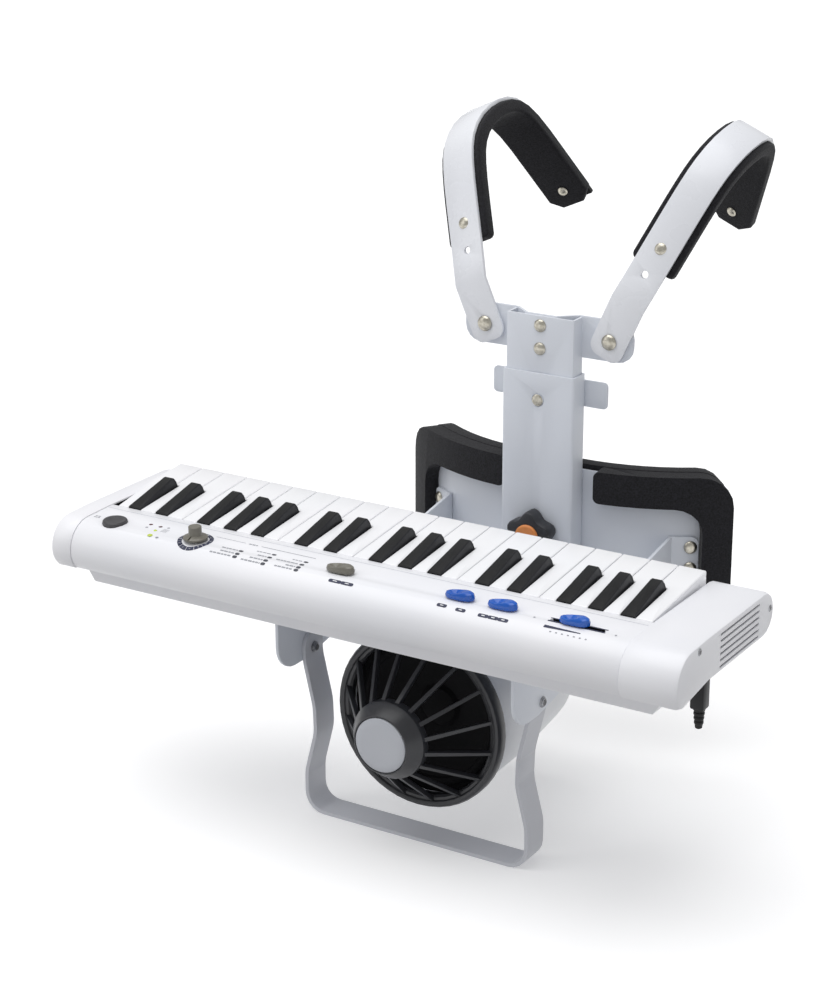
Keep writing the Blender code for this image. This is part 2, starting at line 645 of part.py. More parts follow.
def add_white_key(name, low_x, high_x, neck_low, neck_high, taper):
    """Extruded across its neck, then its front part is drawn out to the full width and its underside hollowed."""
    shape = prism(white_side_view(), "X", neck_low, neck_high)
    notch_y = KEY_EDGE_Y - (WHITE_LENGTH - BLACK_LENGTH) + BLACK_FRONT_GAP
    everything = list(shape.verts) + list(shape.edges) + list(shape.faces)
    bmesh.ops.bisect_plane(shape, geom=everything, dist=1e-7, plane_co=(0, notch_y, 0), plane_no=(0, 1, 0))
    for neck_x, full_x in ((neck_low, low_x), (neck_high, high_x)):
        if abs(neck_x - full_x) < KEY_GAP:
            continue
        side = [
            f for f in shape.faces
            if all(abs(v.co.x - neck_x) < 1e-7 for v in f.verts) and f.calc_center_median().y > notch_y
        ]
        made = bmesh.ops.extrude_face_region(shape, geom=side)
        moved = [item for item in made["geom"] if isinstance(item, bmesh.types.BMVert)]
        bmesh.ops.translate(shape, verts=moved, vec=(full_x - neck_x, 0, 0))
        bmesh.ops.delete(shape, geom=side, context="FACES_ONLY")
    round_playing_end(shape, low_x, high_x)
    if taper:
        # The top octave's last key is cut away beside the cheek
        for vert in shape.verts:
            if abs(vert.co.x - low_x) < 1e-7 and vert.co.y < notch_y - KEY_GAP:
                vert.co.x += taper
    bmesh.ops.recalc_face_normals(shape, faces=shape.faces)
    bevelled = [
        e for e in shape.edges
        if e.is_manifold
        and e.calc_face_angle(0) > math.radians(40)
        and min(v.co.z for v in e.verts) > TAIL_TOP_Z + KEY_WALL
        and min(v.co.y for v in e.verts) > KEY_NEAR_Y - KEY_GAP
    ]
    bevel_edges(shape, bevelled, 0.0005, 1)
    origin = ((low_x + high_x) / 2, KEY_PIVOT_Y, KEY_PIVOT_Z)
    key = make_object(name, shape, KEY_PLASTIC, origin)
    roof = key_top_z(KEY_EDGE_Y - WHITE_LENGTH) - 2 * KEY_WALL
    hollow = box(
        (low_x + KEY_WALL, notch_y + KEY_WALL, KEY_BOTTOM_Z - KEY_WALL),
        (high_x - KEY_WALL, KEY_EDGE_Y - KEY_LIP_RADIUS, roof),
    )
    combine(key, hollow, "DIFFERENCE", "underside")
    settle(key)
    return key


def black_side_view():
    """A black key from the side: flush at the panel and tall at the playing end."""
    far_y = KEY_NEAR_Y + BLACK_LENGTH
    top_y = far_y - BLACK_NOSE
    near_z = key_top_z(KEY_NEAR_Y) + 3 * GAP
    top_z = key_top_z(top_y) + BLACK_RISE
    return [
        (far_y, KEY_BOTTOM_Z),
        (far_y, key_top_z(far_y)),
        (far_y - BLACK_NOSE * 0.25, key_top_z(far_y) + BLACK_RISE * 0.62),
        (far_y - BLACK_NOSE * 0.55, key_top_z(far_y) + BLACK_RISE * 0.90),
        (top_y, top_z),
        (KEY_NEAR_Y, near_z),
        (KEY_NEAR_Y, TAIL_TOP_Z),
        (KEY_TAIL_END_Y, TAIL_TOP_Z),
        (KEY_TAIL_END_Y, KEY_BOTTOM_Z),
    ]


def add_black_key(name, middle_x):
    half = BLACK_WIDTH / 2
    shape = prism(black_side_view(), "X", middle_x - half, middle_x + half)
    lean = (BLACK_WIDTH - BLACK_TOP_WIDTH) / 2 / BLACK_RISE
    for vert in shape.verts:
        rise = vert.co.z - key_top_z(vert.co.y)
        if rise > GAP:
            inward = -1 if vert.co.x > middle_x else 1
            vert.co.x += inward * min(rise, BLACK_RISE) * lean
    bmesh.ops.recalc_face_normals(shape, faces=shape.faces)
    ridges = [
        e for e in shape.edges
        if e.calc_face_angle(0) > math.radians(30)
        and all(v.co.z > key_top_z(v.co.y) + GAP / 2 for v in e.verts)
    ]
    bevel_edges(shape, ridges, 0.0005, 1)
    return make_object(name, shape, BLACK_PLASTIC, (middle_x, KEY_PIVOT_Y, KEY_PIVOT_Z))


def add_keys():
    """From the highest E at the left to the lowest F at the right. Necks within a group are equally wide."""
    letters = "EDCBAGF"
    groups = {"C": 3, "D": 3, "E": 3, "F": 4, "G": 4, "A": 4, "B": 4}
    place_in_group = {"E": 0, "D": 1, "C": 2, "B": 0, "A": 1, "G": 2, "F": 3}
    for index in range(WHITE_KEYS):
        letter = letters[index % 7]
        # The row runs from E6 down to F3
        octave = 6 - (index + 4) // 7
        size = groups[letter]
        place = place_in_group[letter]
        neck = (size * KEY_PITCH - (size - 1) * BLACK_WIDTH) / size
        group_x = KEY_ROW_X + (index - place) * KEY_PITCH
        neck_low = group_x + place * (neck + BLACK_WIDTH) + KEY_GAP / 2
        neck_high = neck_low + neck - KEY_GAP
        low_x = KEY_ROW_X + index * KEY_PITCH + KEY_GAP / 2
        high_x = low_x + KEY_PITCH - KEY_GAP
        if place == 0:
            neck_low = low_x
        if place == size - 1:
            neck_high = high_x
        taper = HIGH_KEY_TAPER if index == 0 else 0.0
        add_white_key(f"white_key_{letter.lower()}{octave}", low_x, high_x, neck_low, neck_high, taper)
        if place < size - 1:
            below = letters[(index + 1) % 7]
            low_octave = 6 - (index + 5) // 7
            middle_x = group_x + (place + 1) * neck + (place + 0.5) * BLACK_WIDTH
            add_black_key(f"black_key_{below.lower()}{low_octave}_sharp", middle_x)


def panel_point(x):
    return (x, CONTROL_ROW_Y, control_z(CONTROL_ROW_Y))


def tilted(shape, x):
    """Moves a shape made round the origin onto the sloping panel."""
    bmesh.ops.rotate(shape, verts=shape.verts, cent=(0, 0, 0), matrix=Matrix.Rotation(PANEL_TILT, 3, "X"))
    bmesh.ops.translate(shape, verts=shape.verts, vec=panel_point(x))
    return shape


def add_power_button():
    radius = POWER_DIAMETER / 2
    profile = [
        (0.0, -POWER_FLANGE_DEPTH),
        (radius, -POWER_FLANGE_DEPTH),
        (radius, POWER_HEIGHT - 0.0006),
        (radius - 0.0006, POWER_HEIGHT),
        (radius - 0.0022, POWER_HEIGHT),
        (radius - 0.0035, POWER_HEIGHT - 0.0006),
        (0.0, POWER_HEIGHT - 0.0009),
    ]
    make_object("power_button", tilted(turned(profile, 24), POWER_X), DARK_PLASTIC, panel_point(POWER_X))


def add_voice_knob():
    skirt = VOICE_SKIRT_DIAMETER / 2
    stem = VOICE_STEM_DIAMETER / 2
    shaft = VOICE_SHAFT_DIAMETER / 2
    lift = 0.0012
    profile = [
        (0.0, -0.006),
        (shaft, -0.006),
        (shaft, lift),
        (skirt, lift),
        (skirt, lift + 0.0012),
        (stem + 0.0016, VOICE_SKIRT_HEIGHT),
        (stem, VOICE_SKIRT_HEIGHT + 0.0006),
        (stem, VOICE_HEIGHT - 0.0005),
        (stem - 0.0005, VOICE_HEIGHT),
        (0.0, VOICE_HEIGHT),
    ]
    knob = make_object("voice_knob", tilted(turned(profile, 24), VOICE_X), GREY_PLASTIC, panel_point(VOICE_X))
    # The pointer groove points to the printed numbers
    groove = box((-0.0006, -skirt - GAP, lift + 0.0008), (0.0006, -stem, VOICE_HEIGHT))
    combine(knob, tilted(groove, VOICE_X), "DIFFERENCE", "pointer")


def knob_ring(scale, rise):
    """One ring of the slide knob, at that share of its outline and height: higher at one end, scooped at the other."""
    points = []
    for step in range(SLIDE_KNOB_SIDES):
        turn = 2 * math.pi * step / SLIDE_KNOB_SIDES
        x = math.cos(turn) * scale
        waist = 1 - 0.16 * math.sin(turn) ** 8
        y = math.sin(turn) * scale * waist
        height = SLIDE_KNOB_HEIGHT * rise * (0.88 + 0.12 * x)
        scoop = SLIDE_KNOB_SCOOP * math.exp(-(((x + 0.34) / 0.36) ** 2) - (y / 0.55) ** 2) * (1 - scale**4)
        points.append((x * SLIDE_KNOB_LENGTH / 2, y * SLIDE_KNOB_WIDTH / 2, height - scoop))
    return points


def add_slide_knob(name, x, material):
    lift = 0.0010
    foot = lift / SLIDE_KNOB_HEIGHT
    rings = [knob_ring(0.97, foot), knob_ring(1.0, 0.42), knob_ring(0.93, 0.80)]
    rings += [knob_ring(0.78, 0.96), knob_ring(0.52, 1.0), knob_ring(0.24, 1.0)]
    shape = bmesh.new()
    loops = []
    for ring in rings:
        verts = [shape.verts.new(point) for point in ring]
        pairs = zip(verts, verts[1:] + verts[:1])
        loops.append([shape.edges.new(pair) for pair in pairs])
    for lower, upper in zip(loops, loops[1:]):
        bmesh.ops.bridge_loops(shape, edges=lower + upper)
    bmesh.ops.holes_fill(shape, edges=loops[0])
    bmesh.ops.holes_fill(shape, edges=loops[-1])
    knob = make_object(name, tilted(shape, x), material, panel_point(x))
    half_x, half_y, depth = SLIDE_STEM[0] / 2, SLIDE_STEM[1] / 2, SLIDE_STEM[2]
    stem = tilted(box((-half_x, -half_y, -depth), (half_x, half_y, lift + OVERLAP)), x)
    combine(knob, stem, "UNION", "stem")


def add_controls():
    add_power_button()
    add_voice_knob()
    add_slide_knob("mode_switch", MODE_X, GREY_PLASTIC)
    add_slide_knob("octave_switch", OCTAVE_X, BLUE_PLASTIC)
    add_slide_knob("tone_switch", TONE_X, BLUE_PLASTIC)
    add_slide_knob("volume_slider", VOLUME_X, BLUE_PLASTIC)


def add_connector_plug():
    """A moulded plug with its ribbed strain relief, hanging under the low end."""
    top = CASE_BOTTOM_Z - GAP
    half = PLUG_WIDTH / 2
    shape = box((PLUG_X - half, PLUG_Y - half, top - PLUG_LENGTH), (PLUG_X + half, PLUG_Y + half, top))
    lower = [e for e in shape.edges if all(v.co.z < top - PLUG_LENGTH + 1e-6 for v in e.verts)]
    upright = [e for e in shape.edges if abs(e.verts[0].co.z - e.verts[1].co.z) > PLUG_LENGTH / 2]
    bevel_edges(shape, lower + upright, 0.0014, 2)
    plug = make_object("connector_plug", shape, DARK_PLASTIC)
    start = top - PLUG_LENGTH + OVERLAP
    radius = RELIEF_DIAMETER / 2
    ribs = 4
    step = (RELIEF_LENGTH - 0.002) / ribs
    profile = [(0.0, start)]
    for index in range(ribs):
        shrink = radius * (1 - 0.07 * index)
        z = start - index * step
        profile += [(shrink, z), (shrink, z - step * 0.6), (shrink * 0.82, z - step * 0.7), (shrink * 0.82, z - step)]
    end = start - RELIEF_LENGTH
    profile += [(radius * 0.6, end + 0.0005), (radius * 0.4, end), (0.0, end)]
    relief = turned(profile, 12)
    bmesh.ops.translate(relief, verts=relief.verts, vec=(PLUG_X, PLUG_Y, 0))
    combine(plug, relief, "UNION", "strain_relief")


def add_speaker_housing():
    inner = HOUSING_RADIUS - HOUSING_WALL
    recess_y = HOUSING_FRONT_Y + HOUSING_RECESS
    round_y = HOUSING_BACK_Y - HOUSING_BACK_ROUND
    back_radius = HOUSING_RADIUS - HOUSING_TAPER[1]
    round_centre = (back_radius - HOUSING_BACK_ROUND, round_y)
    back = arc(round_centre, (HOUSING_BACK_ROUND, HOUSING_BACK_ROUND), 0, 90, 6)
    profile = [
        (0.0, recess_y),
        (inner, recess_y),
        (inner, HOUSING_FRONT_Y),
        (HOUSING_RADIUS, HOUSING_FRONT_Y),
        (HOUSING_RADIUS - HOUSING_TAPER[0], HOUSING_MIDDLE_Y),
    ] + back + [(0.0, HOUSING_BACK_Y)]
    housing = make_object("speaker_housing", lathe(profile, (0.0, SPEAKER_Z), 40), WHITE_PLASTIC)
    saddle_front = (HOUSING_FRONT_Y + round_y) / 2 - SADDLE_LENGTH / 2
    top_z = CRADLE_TOP_Z - SHEET - GAP
    saddle = box(
        (-SADDLE_HALF_WIDTH, saddle_front, SPEAKER_Z + inner - SADDLE_HALF_WIDTH / 4),
        (SADDLE_HALF_WIDTH, saddle_front + SADDLE_LENGTH, top_z),
    )
    combine(housing, saddle, "UNION", "saddle")


def spoke_bar(angle):
    """One bar of the grille, from the hub's skirt back to the rim."""
    shape = bmesh.new()
    hub_y = HUB_FRONT_Y + HUB_CONE + HUB_SKIRT / 2
    rim_y = HOUSING_FRONT_Y - GRILLE_RIM_DEPTH / 2 - SPOKE_DEPTH / 2
    start = HUB_RADIUS - HUB_WALL
    end = GRILLE_RADIUS - GRILLE_RIM / 2
    half = SPOKE_WIDTH / 2
    corners = [
        (start, hub_y - SPOKE_DEPTH / 2),
        (end, rim_y),
        (end, rim_y + SPOKE_DEPTH),
        (start, hub_y + SPOKE_DEPTH / 2),
    ]
    outline = [(y, radius) for radius, y in corners]
    prism(outline, "X", -half, half, shape)
    bmesh.ops.rotate(shape, verts=shape.verts, cent=(0, 0, 0), matrix=Matrix.Rotation(angle, 3, "Y"))
    bmesh.ops.translate(shape, verts=shape.verts, vec=(0, 0, SPEAKER_Z))
    return shape


def add_speaker_grille():
    """Rim, hub and bars in one moulding; the bars stand forward as a cone."""
    front = HOUSING_FRONT_Y - GRILLE_RIM_DEPTH
    back = HOUSING_FRONT_Y - GAP
    rim = [
        (GRILLE_RADIUS, back),
        (GRILLE_RADIUS, front + 0.0024),
        (GRILLE_RADIUS - 0.0010, front + 0.0006),
        (GRILLE_RADIUS - 0.0026, front),
        (GRILLE_RADIUS - 0.0044, front + 0.0004),
        (GRILLE_RADIUS - 0.0050, front + 0.0016),
        (GRILLE_RADIUS - GRILLE_RIM + 0.0012, front + 0.0018),
        (GRILLE_RADIUS - GRILLE_RIM, front + 0.0034),
        (GRILLE_RADIUS - GRILLE_RIM, back),
    ]
    grille = make_object("speaker_grille", lathe(rim, (0.0, SPEAKER_Z), 48), DARK_PLASTIC)
    cone_y = HUB_FRONT_Y + HUB_CONE
    skirt_y = cone_y + HUB_SKIRT
    hub = [
        (0.0, HUB_FRONT_Y + 0.0010),
        (HUB_FRONT_RADIUS - 0.0012, HUB_FRONT_Y + 0.0010),
        (HUB_FRONT_RADIUS - 0.0008, HUB_FRONT_Y),
        (HUB_FRONT_RADIUS, HUB_FRONT_Y),
        (HUB_RADIUS, cone_y),
        (HUB_RADIUS, skirt_y),
        (HUB_RADIUS - HUB_WALL, skirt_y),
        (HUB_RADIUS - HUB_WALL, cone_y + HUB_WALL / 2),
        (0.0, cone_y + HUB_WALL / 2),
    ]
    bars = bmesh.new()
    for index in range(SPOKES):
        angle = 2 * math.pi * (index + 0.5) / SPOKES
        single = spoke_bar(angle)
        mesh = bpy.data.meshes.new("spoke")
        single.to_mesh(mesh)
        single.free()
        bars.from_mesh(mesh)
        bpy.data.meshes.remove(mesh)
    combine(grille, bars, "UNION", "bars")
    combine(grille, lathe(hub, (0.0, SPEAKER_Z), 32), "UNION", "hub")


def add_speaker_driver():
    """The drive unit: frame ring, cone, dust cap, basket and magnet."""
    seat = HOUSING_RADIUS - HOUSING_WALL - GAP
    front = HOUSING_FRONT_Y + 0.004
    bottom = front + CONE_DEPTH
    cap = [
        (DUST_CAP_RADIUS * math.sin(math.radians(a)), bottom - DUST_CAP_RADIUS * 0.45 * math.cos(math.radians(a)))
        for a in (0, 30, 60, 90)
    ]
    surround = arc((CONE_RADIUS + 0.003, front + 0.001), (0.003, 0.0024), 180, 360, 4)
    profile = cap + surround + [
        (seat, front),
        (seat, front + 0.0025),
        (CONE_RADIUS + 0.005, front + 0.0030),
        (MAGNET_RADIUS, bottom + 0.006),
        (MAGNET_RADIUS, bottom + MAGNET_LENGTH),
        (0.0, bottom + MAGNET_LENGTH),
    ]
    make_object("speaker_driver", lathe(profile, (0.0, SPEAKER_Z), 32), DARK_PLASTIC)


def bend_round_body(shape):
    """Bends a shape drawn flat (x along the sheet, y behind the plate's front face) round the player's body."""
    for vert in shape.verts:
        side = 1 if vert.co.x >= 0 else -1
        along = abs(vert.co.x) - BELLY_FLAT
        depth = vert.co.y
        if along <= 0:
            vert.co.y = PLATE_FRONT_Y + depth
            continue
        turn = along / BELLY_RADIUS
        radius = BELLY_RADIUS - depth
        vert.co.x = side * (BELLY_FLAT + radius * math.sin(turn))
        vert.co.y = PLATE_FRONT_Y + BELLY_RADIUS - radius * math.cos(turn)
    return shape


def bend_stations(reach):
    """Where the sheet is creased: evenly over each wing, starting at the edge of the flat middle."""
    count = 9
    step = (reach - BELLY_FLAT) / count
    return [BELLY_FLAT + step * index for index in range(count)]


def crease(shape, reach):
    for station in bend_stations(reach):
        for x in (-station, station):
            everything = list(shape.verts) + list(shape.edges) + list(shape.faces)
            bmesh.ops.bisect_plane(shape, geom=everything, dist=1e-7, plane_co=(x, 0, 0), plane_no=(1, 0, 0))
    return shape


def pad_outline(inset):
    """The pad's outline seen from the front, drawn in by inset."""
    half = PAD_HALF_WIDTH - inset
    corner = PAD_CORNER - inset
    return rounded(
        [
            (half, PAD_TOP_Z - inset, corner),
            (-half, PAD_TOP_Z - inset, corner),
            (-half, PAD_BOTTOM_Z + inset, corner),
            (half, PAD_BOTTOM_Z + inset, corner),
        ],
        segments=5,
    )


def add_belly_plate():
    shape = prism(pad_outline(PAD_EDGE), "Y", 0.0, BELLY_PLATE_SHEET)
    crease(shape, PAD_HALF_WIDTH)
    make_object("belly_plate", bend_round_body(shape), PAINTED_STEEL)


def band_outline(side):
    """The front edging of one wing: along the top and down the side, ending at the pad's foot."""
    half = PAD_HALF_WIDTH - BAND_INSET
    top = PAD_TOP_Z - BAND_INSET
    bottom = PAD_BOTTOM_Z + BAND_INSET
    corners = [
        (side * BAND_INNER_X[side], top, 0.004),
        (side * half, top, PAD_CORNER - BAND_INSET),
        (side * half, bottom, PAD_CORNER - BAND_INSET),
        (side * (half - BAND_SIDE_WIDTH - PAD_CORNER), bottom, 0.004),
        (side * (half - BAND_SIDE_WIDTH - PAD_CORNER), bottom + BAND_HEIGHT, 0.004),
        (side * (half - BAND_SIDE_WIDTH), bottom + BAND_HEIGHT, BAND_CORNER * 0.5),
        (side * (half - BAND_SIDE_WIDTH), PAD_TOP_Z - BAND_HEIGHT, BAND_CORNER),
        (side * BAND_INNER_X[side], PAD_TOP_Z - BAND_HEIGHT, 0.004),
    ]
    return rounded(corners, segments=5)


def add_belly_pad():
    """Foam behind the plate, and an edging in front of each wing that wraps the plate's edge."""
    back_low = BELLY_PLATE_SHEET + GAP
    back_high = -BELLY_PLATE_Y
    pad = make_object("belly_pad", prism(pad_outline(0.0), "Y", back_low, back_high), BLACK_FOAM)
    for side, name in ((-1, "left"), (1, "right")):
        band = prism(band_outline(side), "Y", -BAND_THICKNESS - GAP, back_low + OVERLAP)
        combine(pad, band, "UNION", f"band_{name}")
    slot = prism(pad_outline(PAD_EDGE - GAP), "Y", -GAP, back_low)
    combine(pad, slot, "DIFFERENCE", "plate_slot")
    mesh = settle(pad)
    shape = bmesh.new()
    shape.from_mesh(mesh)
    bmesh.ops.remove_doubles(shape, verts=shape.verts, dist=1e-6)
    crease(shape, PAD_HALF_WIDTH)
    bmesh.ops.remove_doubles(shape, verts=shape.verts, dist=1e-6)
    bend_round_body(shape)
    shape.to_mesh(mesh)
    shape.free()
    mesh.shade_smooth()
    mesh.set_sharp_from_angle(angle=math.radians(35))


def arm_outline():
    """A side plate from the side: lobe under the case, then an arm rising to the belly plate."""
    rear_y = wing_point(ARM_X - SHEET / 2)[1] - GAP
    under_bulge = CASE_BOTTOM_Z - BULGE_DEPTH - GAP
    corners = [
        (rear_y, ARM_REAR_TOP_Z, 0),
        (*ARM_STEP, 0.012),
        (ARM_CASE_Y, CRADLE_TOP_Z, 0.004),
        (BULGE_REAR_Y + GAP, CRADLE_TOP_Z, 0),
        (BULGE_REAR_Y + GAP, under_bulge, 0),
        (ARM_FRONT_Y, under_bulge, 0.002),
        (ARM_FRONT_Y, ARM_BOTTOM_Z, ARM_LOBE_RADIUS),
        (FOOT_PIVOT_Y - 0.005, ARM_BOTTOM_Z, 0.020),
        (rear_y, ARM_REAR_BOTTOM_Z, 0),
    ]
    return rounded(corners, segments=6)


def wing_point(x):
    """Where the belly plate's front face is at this distance from the middle."""
    turn = math.asin((abs(x) - BELLY_FLAT) / BELLY_RADIUS)
    return (x, PLATE_FRONT_Y + BELLY_RADIUS - BELLY_RADIUS * math.cos(turn), turn)


def add_cradle_frame():
    half = SHEET / 2
    under = CRADLE_TOP_Z - SHEET
    plate = box(
        (-ARM_X - half, BULGE_REAR_Y + GAP, under),
        (ARM_X + half, CRADLE_PLATE_REAR_Y, CRADLE_TOP_Z),
    )
    cradle = make_object("cradle_frame", plate, PAINTED_STEEL)
    along = BELLY_FLAT + BELLY_RADIUS * wing_point(ARM_X)[2]
    for side, name in ((-1, "left"), (1, "right")):
        low, high = sorted((side * (ARM_X - half), side * (ARM_X + half)))
        combine(cradle, prism(arm_outline(), "X", low, high), "UNION", f"arm_{name}")
        start, end = side * (along - 0.0022), side * (along + FLANGE_WIDTH)
        flange_corners = [
            (start, ARM_REAR_BOTTOM_Z, 0),
            (end, ARM_REAR_BOTTOM_Z, 0.005),
            (end, ARM_REAR_TOP_Z, 0.005),
            (start, ARM_REAR_TOP_Z, 0),
        ]
        flange = prism(rounded(flange_corners, segments=4), "Y", -SHEET - GAP, -GAP)
        combine(cradle, bend_round_body(flange), "UNION", f"flange_{name}")
        inner = side * (ARM_X - half + OVERLAP)
        tip = side * (ARM_X - half - GAP - FOOT_SHEET - 0.0008)
        pin_low, pin_high = sorted((inner, tip))
        pin = prism(circle((FOOT_PIVOT_Y, FOOT_PIVOT_Z), PIN_DIAMETER / 2, 16), "X", pin_low, pin_high)
        combine(cradle, pin, "UNION", f"pin_{name}")
    return cradle


def add_foot_bar():
    """One flat strip bent into a foot, its legs waisted, hung on the cradle's two pins."""
    leg_x = ARM_X - SHEET / 2 - GAP
    top_z = FOOT_PIVOT_Z + FOOT_TOP_REACH
    bottom = FOOT_BOTTOM_Z
    right = [
        (leg_x, top_z, 0),
        (leg_x, FOOT_PIVOT_Z - 0.006, 0.040),
        (FOOT_WAIST_X + 0.0006, FOOT_WAIST_Z[0], 0.040),
        (FOOT_WAIST_X, FOOT_WAIST_Z[1], 0.030),
        (FOOT_BASE_X, FOOT_BASE_Z, 0.030),
        (FOOT_BASE_X, bottom, 0.0140),
    ]
    left = [(-x, z, radius) for x, z, radius in reversed(right)]
    path = rounded(right + left, closed=False, segments=5)
    shape = prism(strip(path, FOOT_SHEET), "Y", FOOT_PIVOT_Y - FOOT_WIDTH / 2, FOOT_PIVOT_Y + FOOT_WIDTH / 2)
    tops = [
        e for e in shape.edges
        if all(v.co.z > top_z - 1e-6 for v in e.verts) and abs(e.verts[0].co.y - e.verts[1].co.y) < 1e-7
    ]
    bevel_edges(shape, tops, FOOT_WIDTH * 0.42, 4)
    bar = make_object("foot_bar", shape, FOOT_STEEL, (0.0, FOOT_PIVOT_Y, FOOT_PIVOT_Z))
    holes = bmesh.new()
    reach = FOOT_SHEET * 2
    for side in (-1, 1):
        low, high = sorted((side * (leg_x - reach), side * (leg_x + GAP)))
        radius = PIN_DIAMETER / 2 + PIN_CLEARANCE
        prism(circle((FOOT_PIVOT_Y, FOOT_PIVOT_Z), radius, 16), "X", low, high, holes)
    combine(bar, holes, "DIFFERENCE", "pin_holes")


def sleeve_outline(half, front, back, corner):
    return rounded(
        [(half, back, corner), (-half, back, corner), (-half, front, corner), (half, front, corner)],
        segments=3,
    )


def add_column_sleeve():
    half = SLEEVE_WIDTH / 2
    outer = sleeve_outline(half, SLEEVE_FRONT_Y, SLEEVE_BACK_Y, SLEEVE_CORNER)
    sleeve = make_object("column_sleeve", prism(outer, "Z", SLEEVE_BOTTOM_Z, SLEEVE_TOP_Z), PAINTED_STEEL)
    inner = sleeve_outline(
        half - SLEEVE_WALL,
        SLEEVE_FRONT_Y + SLEEVE_WALL,
        SLEEVE_BACK_Y - SLEEVE_WALL,
        SLEEVE_CORNER - SLEEVE_WALL,
    )
    clear = 0.01
    combine(sleeve, prism(inner, "Z", SLEEVE_BOTTOM_Z - clear, SLEEVE_TOP_Z + clear), "DIFFERENCE", "bore")
    pin = circle((0.0, LATCH_PIN_Z), LATCH_PIN_DIAMETER / 2 + PIN_CLEARANCE, 20)
    combine(sleeve, prism(pin, "Y", SLEEVE_FRONT_Y - clear, SLEEVE_BACK_Y + clear), "DIFFERENCE", "pin_holes")
    bolt = circle((0.0, CLAMP_Z), CLAMP_BOLT_DIAMETER / 2 + PIN_CLEARANCE, 16)
    combine(sleeve, prism(bolt, "Y", SLEEVE_FRONT_Y - clear, POST_FRONT_Y), "DIFFERENCE", "bolt_hole")


def wing_outline():
    """The hat-shaped bracket from above, as (x, y): its middle on the post's web, its ears beside the post."""
    web_back = POST_FRONT_Y + POST_SHEET
    ear_front = POST_BACK_Y - WING_SHEET
    middle = 0.0110
    shoulder = POST_HALF - POST_SHEET
    front = [
        (-WING_REACH, ear_front),
        (-shoulder, ear_front),
        (-middle, web_back - OVERLAP),
        (middle, web_back - OVERLAP),
        (shoulder, ear_front),
        (WING_REACH, ear_front),
    ]
    return front + list(reversed(offset_path(front, WING_SHEET)))


def add_column_post():
    """A folded channel that slides in the sleeve, with the wing bracket and its two strap pins."""
    web_back = POST_FRONT_Y + POST_SHEET
    channel = [
        (-POST_HALF, POST_BACK_Y, 0),
        (-POST_HALF, POST_FRONT_Y, SLEEVE_CORNER - SLEEVE_WALL),
        (POST_HALF, POST_FRONT_Y, SLEEVE_CORNER - SLEEVE_WALL),
        (POST_HALF, POST_BACK_Y, 0),
        (POST_HALF - POST_SHEET, POST_BACK_Y, 0),
        (POST_HALF - POST_SHEET, web_back, 0),
        (-POST_HALF + POST_SHEET, web_back, 0),
        (-POST_HALF + POST_SHEET, POST_BACK_Y, 0),
    ]
    origin = (0.0, POST_FRONT_Y, SLEEVE_TOP_Z)
    shape = prism(rounded(channel, segments=2), "Z", POST_BOTTOM_Z, POST_TOP_Z)
    post = make_object("column_post", shape, PAINTED_STEEL, origin)
    radius = LATCH_PIN_DIAMETER / 2 + PIN_CLEARANCE
    slot = arc((0.0, LATCH_PIN_Z + POST_DROP), (radius, radius), 0, 180, 8)
    slot += arc((0.0, LATCH_PIN_Z - POST_LIFT), (radius, radius), 180, 360, 8)
    combine(post, prism(slot, "Y", POST_FRONT_Y - 0.01, web_back + 0.002), "DIFFERENCE", "height_slot")
    wing = prism(wing_outline(), "Z", POST_TOP_Z - WING_HEIGHT, POST_TOP_Z + 0.0010)
    tips = [
        e for e in wing.edges
        if abs(abs(e.verts[0].co.x) - WING_REACH) < 1e-6
        and abs(abs(e.verts[1].co.x) - WING_REACH) < 1e-6
        and abs(e.verts[0].co.z - e.verts[1].co.z) < 1e-7
    ]
    bevel_edges(wing, tips, 0.011, 4)
    combine(post, wing, "UNION", "wing")
    ear_front = POST_BACK_Y - WING_SHEET
    for side, name in ((-1, "left"), (1, "right")):
        centre = (side * STRAP_PIVOT_X, STRAP_PIVOT_Z)
        tip = ear_front - GAP - STRAP_SHEET - 0.0008
        pin = prism(circle(centre, PIN_DIAMETER / 2, 16), "Y", tip, ear_front + OVERLAP)
        combine(post, pin, "UNION", f"pin_{name}")


def add_height_latch():
    """A sprung plate behind the sleeve whose pin passes through the post; a tab shows at each side."""
    low_z = LATCH_MIDDLE_Z - LATCH_HEIGHT / 2
    high_z = LATCH_MIDDLE_Z + LATCH_HEIGHT / 2
    plate_y = SLEEVE_BACK_Y + GAP
    outline = rounded(
        [
            (LATCH_HALF_WIDTH, high_z, 0.003),
            (-LATCH_HALF_WIDTH, high_z, 0.003),
            (-LATCH_HALF_WIDTH, low_z, 0.003),
            (LATCH_HALF_WIDTH, low_z, 0.003),
        ]
    )
    latch = make_object(
        "height_latch",
        prism(outline, "Y", plate_y, plate_y + LATCH_SHEET),
        PAINTED_STEEL,
        (0.0, plate_y, LATCH_PIN_Z),
    )
    pin = prism(circle((0.0, LATCH_PIN_Z), LATCH_PIN_DIAMETER / 2, 20), "Y", SLEEVE_FRONT_Y - GAP, plate_y + OVERLAP)
    combine(latch, pin, "UNION", "pin")


